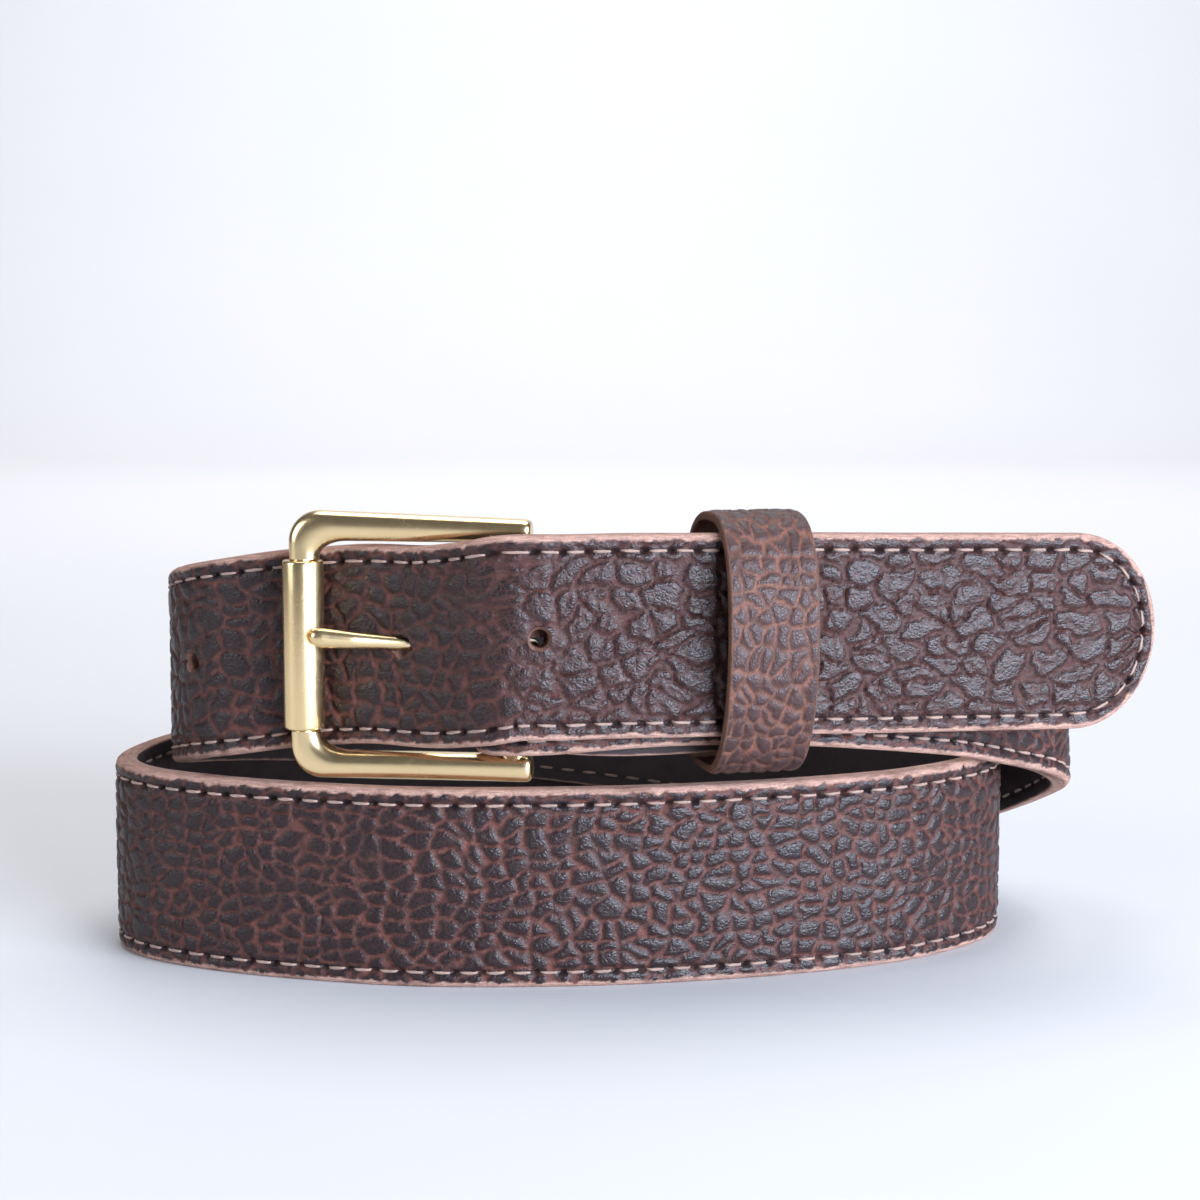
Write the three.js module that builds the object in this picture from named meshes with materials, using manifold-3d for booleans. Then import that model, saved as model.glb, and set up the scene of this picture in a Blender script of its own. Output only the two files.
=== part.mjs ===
// Men's dress belt: a two-ply leather strap, buckled and coiled in two turns that stand on edge.
// Millimetres, +Z up. X runs along the front of the coil, Y goes through it to the back.
import * as THREE from 'three';
import * as BufferGeometryUtils from 'three/addons/utils/BufferGeometryUtils.js';
import Module from 'manifold-3d';

const wasm = await Module();
wasm.setup();

// ---------------------------------------------------------------- driving dimensions
const STRAP_WIDTH = 38.1;          // 1 1/2 in strap
const STRAP_THICKNESS = 4.3;       // grain ply and lining ply together
const PLY_SPLIT = 0.475;           // where the plies meet, measured outwards from the middle
const PLY_GAP = 0.15;
const TIP_LENGTH = 17.0;           // rounded end of the billet
const STITCH_INSET = 3.0;          // seam line from the strap's edge
const THREAD_WIDTH = 0.7;
const THREAD_HEIGHT = 0.4;
const HOLE_RADIUS = 2.2;
const HOLE_PITCH = 25.4;           // 1 in between adjustment holes
const FIRST_HOLE = 123.7;          // from the tip
const HOLE_COUNT = 5;
const HOLE_DRAW = 3.4;             // how far the prong draws the buckled hole towards the roller
const HEEL_BAR = [-16.3, 4.0];     // vertical bar inside the strap's fold
const HEEL_RADIUS = 2.5;
const ROLLER_AXIS = [-56.3, 9.0];
const ROLLER_RADIUS = 3.95;
const ROLLER_BORE = 2.45;
const ROLLER_BAR = 2.2;
const ROLLER_Z = [48.4, 80.7];
const FRAME_Z = [39.1, 90.2];      // outside of the buckle's lower and upper arms
const OPENING_Z = [44.4, 84.4];
const ARM_TAPER = [0, 1.4];         // how much each arm's outer side closes in towards the heel
const FRAME_DEPTH = 5.6;
const CORNER_OUT = 5.8;
const CORNER_IN = 3.2;
const LEG = [-3.1, 2.5];           // the frame's uprights beside the roller, from its axis
const PRONG_Z = 63.9;
const PRONG_RISE = 2.8;
const PRONG_SWING = 4.2;           // degrees of free play that the buckled hole leaves
const KEEPER_WIDTH = 17.4;
const KEEPER_THICKNESS = 1.9;
const KEEPER_Z = [40.3, 90.3];
const KEEPER_N = [-22.5, 10.0];    // back and front of the slack loop, from the billet's middle
const KEEPER_MID = [-5.0, 68.0];   // where the loop is deepest and tallest
const SCREW_RADIUS = 2.0;
const ORIGIN = [5.085, 55.670];       // middle of the footprint

const H = STRAP_WIDTH / 2, TH = STRAP_THICKNESS / 2;

// ---------------------------------------------------------------- the strap's centre line
// [x, y, z] of the middle of the strap, from the turned-back flap to the tip.
const rf = 5.15, R1 = 6.75, R2 = 10.1;
const deg = Math.PI / 180;
const C = [[34, 15.6, 43.8 + H], [22, 12.2, 43.6 + H], [8, 9.9, 43.2 + H], [-6, 9.2, 43.7 + H]];
for (const a of [90, 120, 150, 180, 210, 240, 270])
  C.push([HEEL_BAR[0] + rf * Math.cos(a * deg), HEEL_BAR[1] + rf * Math.sin(a * deg), 44.75 + H + 0.15 * (a - 90) / 180]);
C.push([-4, 0.3, 45.3 + H], [8, 3.0, 45.8 + H], [22, 6.6, 45.7 + H], [38, 11.2, 44.8 + H], [52, 16.3, 43.3 + H],
  [64, 22.3, 41.5 + H], [75, 29.6, 39.3 + H], [84, 37.8, 36.4 + H], [92.6, 47.5, 33.0 + H], [95.6, 57, 29.2 + H],
  [93.9, 69, 24.6 + H], [87.9, 82, 19.0 + H], [77, 94, 12.5 + H], [62, 104, 6.4 + H], [44, 111.5, 2.0 + H],
  [25, 116.0, H], [4, 118.0, H], [-18, 116.5, H], [-40, 111.5, H], [-60, 102.5, H], [-76, 88.5, H], [-88, 70, H],
  [-94.6, 51, H], [-95.4, 36, H], [-90.2, 25.4, H], [-80.5, 17.8, H], [-68, 11.6, H], [-54, 6.9, H], [-38, 3.0, H],
  [-22, 1.9, H], [-7, 2.5, H], [8, 4.3, H], [22, 7.3, H], [36, 11.3, H], [48, 15.9, H], [59, 21.6, H], [69, 29.6, H],
  [76.6, 38.6, H], [80.6, 50, 0.2 + H], [80.0, 62, 1.6 + H], [74.5, 75, 4.2 + H], [64, 87.5, 7.6 + H],
  [50, 97.0, 11.2 + H], [32, 103.6, 14.8 + H], [12, 107, 17.6 + H], [-10, 107.4, 20.4 + H], [-32, 103.5, 23.4 + H],
  [-52, 95, 26.5 + H], [-68, 82.5, 29.5 + H], [-79.2, 66, 32.4 + H], [-84.2, 50, 34.9 + H], [-84.0, 37, 37.2 + H],
  [-79.6, 26.8, 39.7 + H], [-73.3, 20.4, 41.4 + H], [-65.5, 16.9, 42.9 + H]);
for (const a of [100, 78, 62])
  C.push([ROLLER_AXIS[0] + R1 * Math.cos(a * deg), ROLLER_AXIS[1] + R1 * Math.sin(a * deg), 44.0 + H + 0.4 * (100 - a) / 38]);
C.push([-45.5, 11.0, 45.3 + H], [-38, 6.7, 45.6 + H], [-31, 1.9, 45.95 + H], [-27, -1.0, 46.6 + H]);
C.push(...[[236, 47.5], [258, 48.3]].map(([a, z]) => [HEEL_BAR[0] + R2 * Math.cos(a * deg), HEEL_BAR[1] + R2 * Math.sin(a * deg), z + H]));
C.push([-8, -5.55, 48.6 + H], [2, -3.85, 48.65 + H], [14, -1.45, 48.5 + H], [28, 2.0, 48.3 + H], [42, 5.6, 48.0 + H],
  [56, 9.4, 47.6 + H], [72, 14.0, 47.2 + H], [90, 19.4, 46.7 + H], [108.2, 25.2, 46.3 + H]);

// natural cubic spline through C, by chord length
function naturalSpline(pts) {
  const n = pts.length, t = [0];
  for (let i = 1; i < n; i++) t.push(t[i - 1] + Math.hypot(...[0, 1, 2].map(k => pts[i][k] - pts[i - 1][k])));
  const M = [0, 1, 2].map(k => {
    const a = new Array(n).fill(0), b = new Array(n).fill(1), c = new Array(n).fill(0), d = new Array(n).fill(0);
    for (let i = 1; i < n - 1; i++) {
      const h0 = t[i] - t[i - 1], h1 = t[i + 1] - t[i];
      a[i] = h0; b[i] = 2 * (h0 + h1); c[i] = h1;
      d[i] = 6 * ((pts[i + 1][k] - pts[i][k]) / h1 - (pts[i][k] - pts[i - 1][k]) / h0);
    }
    for (let i = 1; i < n; i++) { const m = a[i] / b[i - 1]; b[i] -= m * c[i - 1]; d[i] -= m * d[i - 1]; }
    const x = new Array(n).fill(0);
    x[n - 1] = d[n - 1] / b[n - 1];
    for (let i = n - 2; i >= 0; i--) x[i] = (d[i] - c[i] * x[i + 1]) / b[i];
    return x;
  });
  return { t, at(q) {
    let i = 0, j = n - 2;
    while (i < j) { const m = (i + j + 1) >> 1; if (t[m] <= q) i = m; else j = m - 1; }
    const h = t[i + 1] - t[i], a = t[i + 1] - q, b = q - t[i];
    return [0, 1, 2].map(k => M[k][i] * a ** 3 / (6 * h) + M[k][i + 1] * b ** 3 / (6 * h)
      + (pts[i][k] / h - M[k][i] * h / 6) * a + (pts[i + 1][k] / h - M[k][i + 1] * h / 6) * b);
  } };
}
const spline = naturalSpline(C);
const NP = 12000, P = [], S = [0];
for (let i = 0; i <= NP; i++) {
  const p = spline.at(spline.t[C.length - 1] * i / NP);
  p[2] = Math.max(p[2], H);                       // the lower turn stands on the surface
  P.push(p);
  if (i) S.push(S[i - 1] + Math.hypot(p[0] - P[i - 1][0], p[1] - P[i - 1][1], p[2] - P[i - 1][2]));
}
const LENGTH = S[NP];
function centre(s) {
  s = Math.min(Math.max(s, 0), LENGTH);
  let i = 0, j = NP - 1;
  while (i < j) { const m = (i + j + 1) >> 1; if (S[m] <= s) i = m; else j = m - 1; }
  const f = (s - S[i]) / (S[i + 1] - S[i]);
  return new THREE.Vector3(...[0, 1, 2].map(k => P[i][k] + (P[i + 1][k] - P[i][k]) * f));
}
function strapFrame(s) {
  const T = centre(s + 0.4).sub(centre(s - 0.4)).normalize();
  const N = new THREE.Vector3(T.y, -T.x, 0).normalize();   // towards the grain side
  const B = new THREE.Vector3().crossVectors(N, T).normalize();
  if (B.z < 0) B.negate();
  return { p: centre(s), T, N, B };
}
// s along the strap, w across it, n outwards from its middle
function onStrap(s, w, n) {
  const f = strapFrame(s);
  return f.p.clone().addScaledVector(f.N, n).addScaledVector(f.B, w);
}

// stations along the strap, closer together where it bends
function turn(s) {
  const a = strapFrame(s - 1), b = strapFrame(s + 1);
  return Math.acos(Math.min(1, a.T.dot(b.T))) / 2;
}
const stations = [0];
while (stations[stations.length - 1] < LENGTH - TIP_LENGTH - 6) {
  const s = stations[stations.length - 1];
  let k = 1e-4;
  for (const d of [0, 2, 4, 6]) k = Math.max(k, turn(s + d) * (d < 3 ? 1 : 0.8));
  stations.push(s + Math.min(15, Math.max(1.7, Math.sqrt(8 * 0.12 / k))));
}
stations.push(LENGTH - TIP_LENGTH);
for (const u of [0.2, 0.38, 0.54, 0.68, 0.79, 0.88, 0.945, 0.985]) stations.push(LENGTH - TIP_LENGTH * (1 - u));
stations.sort((a, b) => a - b);

// half width at s: full, then a half ellipse to the tip
function halfWidth(s, inset = 0) {
  const u = (s - (LENGTH - TIP_LENGTH)) / (TIP_LENGTH - inset);
  return (H - inset) * (u <= 0 ? 1 : Math.sqrt(Math.max(0, 1 - u * u)));
}

// ---------------------------------------------------------------- mesh helpers
function meshFrom(points, faces) {
  let vol = 0;
  for (const [a, b, c] of faces) vol += points[a].dot(new THREE.Vector3().crossVectors(points[b], points[c]));
  const g = new THREE.BufferGeometry();
  g.setAttribute('position', new THREE.Float32BufferAttribute(points.flatMap(v => [v.x, v.y, v.z]), 3));
  g.setIndex(faces.flatMap(([a, b, c]) => (vol < 0 ? [a, c, b] : [a, b, c])));
  return g;
}
// a closed body through rings of equal point count
function loft(rings) {
  const m = rings[0].length, pts = rings.flat(), f = [];
  for (let i = 0; i + 1 < rings.length; i++)
    for (let k = 0; k < m; k++) {
      const a = i * m + k, b = i * m + (k + 1) % m, c = a + m, d = b + m;
      f.push([a, b, d], [a, d, c]);
    }
  const e = (rings.length - 1) * m;
  for (let k = 1; k + 1 < m; k++) { f.push([0, k + 1, k]); f.push([e, e + k, e + k + 1]); }
  return meshFrom(pts, f);
}
function solid(geometry) {
  let g = geometry.clone();
  g.deleteAttribute('normal'); g.deleteAttribute('uv');
  g = BufferGeometryUtils.mergeVertices(g, 1e-5);
  return new wasm.Manifold(new wasm.Mesh({ numProp: 3,
    vertProperties: new Float32Array(g.attributes.position.array), triVerts: new Uint32Array(g.index.array) }));
}
function geometryOf(m) {
  const r = m.getMesh(), g = new THREE.BufferGeometry();
  const pos = new Float32Array(r.numVert * 3);
  for (let i = 0; i < r.numVert; i++) for (let k = 0; k < 3; k++) pos[i * 3 + k] = r.vertProperties[i * r.numProp + k];
  g.setAttribute('position', new THREE.BufferAttribute(pos, 3));
  g.setIndex(Array.from(r.triVerts));
  return g;
}
const place = (g, x, y, z) => g.clone().translate(x, y, z);
// a geometry whose own +Y axis is turned to a direction
function aim(g, dir) {
  return g.clone().applyQuaternion(new THREE.Quaternion().setFromUnitVectors(new THREE.Vector3(0, 1, 0), dir.clone().normalize()));
}
const upright = (r, z0, z1, xy, n = 28) => place(new THREE.CylinderGeometry(r, r, z1 - z0, n).rotateX(Math.PI / 2), xy[0], xy[1], (z0 + z1) / 2);

// ---------------------------------------------------------------- strap plies
const split0 = PLY_SPLIT + PLY_GAP / 2, split1 = PLY_SPLIT - PLY_GAP / 2;
const SEAM_W = H - STITCH_INSET;
const faceRing = s => { const h = halfWidth(s) - 0.05, c = Math.min(0.6, h * 0.3), q = Math.min(SEAM_W, h * 0.8);
  return [[-h, split0], [-h, TH - 0.4], [-h + c, TH], [-q, TH], [q, TH], [h - c, TH], [h, TH - 0.4], [h, split0]].map(([w, n]) => onStrap(s, w, n)); };
const liningRing = s => { const h = halfWidth(s), c = Math.min(0.5, h * 0.3), q = Math.min(SEAM_W, h * 0.8);
  return [[h, split1], [-h, split1], [-h, -TH + 0.4], [-h + c, -TH], [-q, -TH], [q, -TH], [h - c, -TH], [h, -TH + 0.4]].map(([w, n]) => onStrap(s, w, n)); };
let face = solid(loft(stations.map(faceRing)));
let lining = solid(loft(stations.map(liningRing)));

const cutBoth = g => { const c = solid(g); face = face.subtract(c); lining = lining.subtract(c); };

// adjustment holes
for (let i = 0; i < HOLE_COUNT; i++) {
  const s = LENGTH - FIRST_HOLE - i * HOLE_PITCH - (i === 1 ? HOLE_DRAW : 0), f = strapFrame(s), r = HOLE_RADIUS;
  const c = aim(new THREE.CylinderGeometry(r, r, STRAP_THICKNESS + 1.2, 20), f.N);
  cutBoth(place(c, ...f.p.clone().addScaledVector(f.B, 0).toArray()));
}

// slot in the fold, where the prong's loop sits
{
  const slot = solid(upright(7.5, PRONG_Z - 3.6, PRONG_Z + 3.6, HEEL_BAR, 40))
    .add(solid(place(new THREE.BoxGeometry(5.9, 15.1, 7.2), HEEL_BAR[0] + 2.85, HEEL_BAR[1] + 0.1, PRONG_Z)));
  face = face.subtract(slot); lining = lining.subtract(slot);
}

// ---------------------------------------------------------------- buckle
// frame coordinates: u runs from the heel bar to the roller, v is up
const du = [ROLLER_AXIS[0] - HEEL_BAR[0], ROLLER_AXIS[1] - HEEL_BAR[1]];
const SPAN = Math.hypot(...du);
const buckleTurn = new THREE.Matrix4().makeBasis(
  new THREE.Vector3(du[0] / SPAN, du[1] / SPAN, 0), new THREE.Vector3(0, 0, 1),
  new THREE.Vector3(du[1] / SPAN, -du[0] / SPAN, 0)).setPosition(HEEL_BAR[0], HEEL_BAR[1], 0);
function armShape(sign) {
  // upper arm for sign 1; the lower arm is its mirror
  const zo = sign > 0 ? FRAME_Z[1] : FRAME_Z[0], zi = sign > 0 ? OPENING_Z[1] : OPENING_Z[0];
  const seam = sign > 0 ? ROLLER_Z[1] + 0.3 : ROLLER_Z[0] - 0.3, b = 1.1;      // b: bevel
  const left = SPAN + LEG[1] - b, inner = SPAN + LEG[0] + b, right = -3.6 + b;
  const out = zo - sign * b, inn = zi + sign * b, end = seam + sign * b;
  const s = new THREE.Shape();
  s.moveTo(right, inn); s.lineTo(right, out - sign * ARM_TAPER[sign > 0 ? 1 : 0]);
  s.lineTo(left - CORNER_OUT, out);
  s.absarc(left - CORNER_OUT, out - sign * CORNER_OUT, CORNER_OUT, sign * Math.PI / 2, 0, sign > 0);
  s.lineTo(left, end); s.lineTo(inner, end);
  s.lineTo(inner, inn - sign * CORNER_IN);
  s.absarc(inner - CORNER_IN, inn - sign * CORNER_IN, CORNER_IN, 0, sign * Math.PI / 2, sign < 0);
  s.lineTo(right, inn);
  const g = new THREE.ExtrudeGeometry(s, { depth: FRAME_DEPTH - 2 * b, bevelEnabled: true, bevelThickness: b, bevelSize: b, bevelSegments: 2, curveSegments: 7 });
  return g.translate(0, 0, -FRAME_DEPTH / 2 + b).applyMatrix4(buckleTurn);
}
const buckleFrame = solid(armShape(1)).add(solid(armShape(-1)))
  .add(solid(upright(HEEL_RADIUS, OPENING_Z[0] - 1.5, OPENING_Z[1] + 1.5, HEEL_BAR)))
  .add(solid(upright(ROLLER_BAR, ROLLER_Z[0] - 1.8, ROLLER_Z[1] + 1.8, ROLLER_AXIS)));

function tube(ro, ri, z0, z1, n) {
  const c = 0.35, p = [[ri, z0], [ro - c, z0], [ro, z0 + c], [ro, z1 - c], [ro - c, z1], [ri, z1], [ri, z0]];
  return new THREE.LatheGeometry(p.map(([x, y]) => new THREE.Vector2(x, y)), n).rotateX(Math.PI / 2);
}
const rollerGeometry = tube(ROLLER_RADIUS, ROLLER_BORE, ROLLER_Z[0], ROLLER_Z[1], 36);

// prong: a rounded finger that thickens towards its tip, on a loop round the heel bar
const PRONG_TIP = [-54.5, 3.05];
function prongAt(u) {          // u 0 at the loop, 1 at the tip
  const x0 = HEEL_BAR[0] - 3.2, x = x0 + (PRONG_TIP[0] - x0) * u;
  const y = 4.25 + 1.15 * Math.sin(Math.PI * Math.min(1, u * 1.3)) + (PRONG_TIP[1] - 4.25) * u ** 2.6;
  return new THREE.Vector3(x, y, PRONG_Z + PRONG_RISE * u);
}
const prongHalf = [[0, 1.5, 1.15], [0.3, 1.35, 1.15], [0.55, 1.3, 1.15], [0.7, 1.5, 1.25], [0.82, 1.75, 1.35], [0.9, 1.95, 1.45], [0.95, 1.8, 1.35], [0.985, 1.1, 0.9], [1, 0.45, 0.4]];
function prongBlade(inflate = 0) {
  const rings = prongHalf.map(([u, hz, hy]) => {
    const c = prongAt(u), r = [];
    if (u === 1) c.x -= inflate;
    for (let k = 0; k < 12; k++) {
      const a = 2 * Math.PI * k / 12;
      r.push(new THREE.Vector3(c.x, c.y + (hy + inflate) * Math.sin(a), c.z + (hz + inflate) * Math.cos(a)));
    }
    return r;
  });
  return loft(rings);
}
const loopProfile = [[HEEL_RADIUS + 0.25, -2.0], [4.2, -2.0], [4.7, -1.5], [4.7, 1.5], [4.2, 2.0], [HEEL_RADIUS + 0.25, 2.0], [HEEL_RADIUS + 0.25, -2.0]];
const prongLoop = new THREE.LatheGeometry(loopProfile.map(([x, y]) => new THREE.Vector2(x, y)), 30).rotateX(Math.PI / 2).translate(HEEL_BAR[0], HEEL_BAR[1], PRONG_Z);
const prong = solid(prongBlade()).add(solid(prongLoop));

// the stretched hole the prong passes through, with its free play
for (const a of [0, PRONG_SWING / 3, 2 * PRONG_SWING / 3, PRONG_SWING]) {
  const g = prongBlade(0.4);
  g.translate(-HEEL_BAR[0], -HEEL_BAR[1], 0).rotateZ(a * deg).translate(HEEL_BAR[0], HEEL_BAR[1], 0);
  cutBoth(g);
}

// ---------------------------------------------------------------- seam threads
// each is one thread down both edges and round the tip, just proud of its ply
function seam(n0, n1) {
  const end = LENGTH - TIP_LENGTH, run = stations.filter(s => s <= end && s >= 2.5), path = run.map(s => [s, 1]);
  const w0 = H - STITCH_INSET, a = TIP_LENGTH - STITCH_INSET, tip = [];
  for (const q of [15, 30, 45, 60, 75, 90, 105, 120, 135, 150, 165]) tip.push(q * deg);
  const pts = [...run.map(s => [s, w0, 0, 1]),
    ...tip.map(q => { const nx = w0 * Math.sin(q), ny = a * Math.cos(q), l = Math.hypot(nx, ny); return [end + a * Math.sin(q), w0 * Math.cos(q), nx / l, ny / l]; }),
    ...run.slice().reverse().map(s => [s, -w0, 0, -1])];
  return loft(pts.map(([s, w, ds, dw]) => {
    const h = THREAD_WIDTH / 2, nm = n0 + (n1 - n0);
    return [onStrap(s - ds * h, w - dw * h, n0), onStrap(s + ds * h, w + dw * h, n0), onStrap(s + ds * h * 0.3, w + dw * h * 0.3, nm), onStrap(s - ds * h * 0.3, w - dw * h * 0.3, nm)];
  }));
}
const needleThread = seam(TH + 0.06, TH + 0.06 + THREAD_HEIGHT);
const bobbinThread = seam(-TH - 0.06, -TH - 0.06 - THREAD_HEIGHT + 0.1);

// ---------------------------------------------------------------- keeper loop
const KEEPER_S = LENGTH - 81.5;
const kf = strapFrame(KEEPER_S);
const keeperTurn = new THREE.Matrix4().makeBasis(new THREE.Vector3(kf.N.x, kf.N.y, 0), new THREE.Vector3(0, 0, 1),
  new THREE.Vector3(-kf.N.y, kf.N.x, 0).negate()).setPosition(kf.p.x, kf.p.y, 0);
// rounded loop as a list of points, counter-clockwise, starting and ending at the butt joint on the back
function keeperOutline(ins, cut) {
  const [nc, zc] = KEEPER_MID, pts = [];
  const at = t => {
    const c = Math.cos(t), s = Math.sin(t), front = c > 0, up = s > 0;
    const m = 2 / (front ? (up ? 2.6 : 2.05) : (up ? 2.6 : 5));       // how square each quarter is
    return [nc + (front ? KEEPER_N[1] - nc : nc - KEEPER_N[0]) * Math.sign(c) * Math.abs(c) ** m,
      zc + (up ? KEEPER_Z[1] - zc : zc - KEEPER_Z[0]) * Math.sign(s) * Math.abs(s) ** m];
  };
  for (const t of [186, 195, 204, 213, 222, 232, 242, 254, 268, 278, 289, 300, 311, 322, 333, 344, 354,
    366, 376, 387, 399, 411, 423, 435, 446, 457, 468, 480, 492, 504, 515, 526, 534]) {
    const p = at(t * deg), a = at((t - 0.5) * deg), b = at((t + 0.5) * deg), l = Math.hypot(b[0] - a[0], b[1] - a[1]);
    pts.push([p[0] - ins * (b[1] - a[1]) / l, p[1] + ins * (b[0] - a[0]) / l]);
  }
  const x0 = KEEPER_N[0] + ins;
  return [[x0, zc - cut], ...pts, [x0, zc + cut]];
}
const kOut = keeperOutline(0, 0.2), kIn = keeperOutline(KEEPER_THICKNESS, 0.2).reverse();
const kShape = new THREE.Shape([...kOut, ...kIn].map(([x, y]) => new THREE.Vector2(x, y)));
let keeper = solid(new THREE.ExtrudeGeometry(kShape, { depth: KEEPER_WIDTH, bevelEnabled: false, steps: 1 })
  .translate(0, 0, -KEEPER_WIDTH / 2).applyMatrix4(keeperTurn));
// two wire staples across the butt joint
const kMid = KEEPER_MID[1];
function staple(dz, grow = 0) {
  const g = grow, w = 3.6, t = 0.7, x = KEEPER_N[0] - 0.35 - t;
  const s = new THREE.Shape([[x - g, -w - g], [x + t + 1.9 + g, -w - g], [x + t + 1.9 + g, -w + t + g], [x + t + g, -w + t + g],
    [x + t + g, w - t - g], [x + t + 1.9 + g, w - t - g], [x + t + 1.9 + g, w + g], [x - g, w + g]].map(([a, b]) => new THREE.Vector2(a, b + kMid)));
  return new THREE.ExtrudeGeometry(s, { depth: t + 2 * g, bevelEnabled: false }).translate(0, 0, -t / 2 - g + dz).applyMatrix4(keeperTurn);
}
keeper = keeper.subtract(solid(staple(5, 0.15))).subtract(solid(staple(-5, 0.15)));

// ---------------------------------------------------------------- screws that close the fold
// screw post from the back of the flap, screw from the front, at two heights
const SCREW_S = 95.5, sf = strapFrame(SCREW_S), SCREW_W = [-8, 8];
const gapBack = 9.7;                               // from the front leg's middle to the flap's back face, plus a margin
function lathe(profile, n = 20) { return new THREE.LatheGeometry(profile.map(([x, y]) => new THREE.Vector2(x, y)), n); }
function alongN(g, w) { const p = sf.p.clone().addScaledVector(sf.B, w); return place(aim(g, sf.N), p.x, p.y, p.z); }
const flapBack = -(gapBack + 0.3);
const postProfile = [[0, flapBack - 1.3], [3.6, flapBack - 1.3], [4.0, flapBack - 0.9], [4.0, flapBack], [SCREW_RADIUS + 0.3, flapBack], [SCREW_RADIUS + 0.3, 1.2], [1.45, 1.2], [1.45, flapBack + 2.4], [0, flapBack + 2.4]];
const screwProfile = [[0, flapBack + 3.0], [1.15, flapBack + 3.0], [1.15, TH + 0.25], [3.3, TH + 0.25], [3.6, TH + 0.45], [3.6, TH + 0.7], [3.2, TH + 0.9], [0, TH + 0.9]];
for (const w of SCREW_W) cutBoth(alongN(lathe([[0, flapBack - 0.2], [SCREW_RADIUS + 0.6, flapBack - 0.2], [SCREW_RADIUS + 0.6, TH + 0.2], [0, TH + 0.2]]), w));

// ---------------------------------------------------------------- scene graph
const leatherFace = new THREE.MeshStandardMaterial({ color: 0x2e2123, roughness: 0.5, metalness: 0 });
const leatherLining = new THREE.MeshStandardMaterial({ color: 0x3a2a2a, roughness: 0.7, metalness: 0 });
const leatherKeeper = new THREE.MeshStandardMaterial({ color: 0x5a3b33, roughness: 0.5, metalness: 0 });
const threadColour = new THREE.MeshStandardMaterial({ color: 0xb89a86, roughness: 0.8, metalness: 0 });
const brass = new THREE.MeshStandardMaterial({ color: 0xc8b27e, roughness: 0.3, metalness: 1 });
const steel = new THREE.MeshStandardMaterial({ color: 0xa8a8a8, roughness: 0.4, metalness: 1 });

const belt = new THREE.Group();
const shifted = new THREE.Group();
shifted.position.set(-ORIGIN[0], -ORIGIN[1], 0);
belt.add(shifted);
function add(name, geometry, material) {
  const m = new THREE.Mesh(geometry, material);
  m.name = name;
  shifted.add(m);
  return m;
}
add('strap_face_leather', geometryOf(face), leatherFace);
add('strap_lining_leather', geometryOf(lining), leatherLining);
add('seam_needle_thread', needleThread, threadColour);
add('seam_bobbin_thread', bobbinThread, threadColour);
add('buckle_frame', geometryOf(buckleFrame), brass);
const roller = add('buckle_roller', rollerGeometry, brass);
roller.position.set(ROLLER_AXIS[0], ROLLER_AXIS[1], 0);
add('buckle_prong', geometryOf(prong), brass);
add('keeper_band', geometryOf(keeper), leatherKeeper);
add('keeper_staple_left', staple(5), steel);
add('keeper_staple_right', staple(-5), steel);
add('fold_screw_post_lower', alongN(lathe(postProfile), SCREW_W[0]), steel);
add('fold_screw_post_upper', alongN(lathe(postProfile), SCREW_W[1]), steel);
add('fold_screw_lower', alongN(lathe(screwProfile, 16), SCREW_W[0]), steel);
add('fold_screw_upper', alongN(lathe(screwProfile, 16), SCREW_W[1]), steel);

belt.updateMatrixWorld(true);
export default belt;
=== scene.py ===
import bpy, bmesh, math
import numpy as np
from mathutils import Vector, Matrix, kdtree


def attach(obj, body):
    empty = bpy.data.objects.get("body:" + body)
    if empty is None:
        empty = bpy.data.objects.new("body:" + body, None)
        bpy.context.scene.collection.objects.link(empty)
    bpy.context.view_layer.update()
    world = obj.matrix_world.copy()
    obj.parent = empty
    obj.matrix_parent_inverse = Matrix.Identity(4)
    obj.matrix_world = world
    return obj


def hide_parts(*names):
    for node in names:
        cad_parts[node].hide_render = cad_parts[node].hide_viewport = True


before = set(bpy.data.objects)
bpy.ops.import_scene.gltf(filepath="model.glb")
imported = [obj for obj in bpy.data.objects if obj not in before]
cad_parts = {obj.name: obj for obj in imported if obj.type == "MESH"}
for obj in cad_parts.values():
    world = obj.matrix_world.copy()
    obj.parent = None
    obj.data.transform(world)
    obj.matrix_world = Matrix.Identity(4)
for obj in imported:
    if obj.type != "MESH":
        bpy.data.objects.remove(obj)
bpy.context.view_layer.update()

MM = 0.001
ORIGIN = np.array([5.085, 55.670, 0.0])

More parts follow.
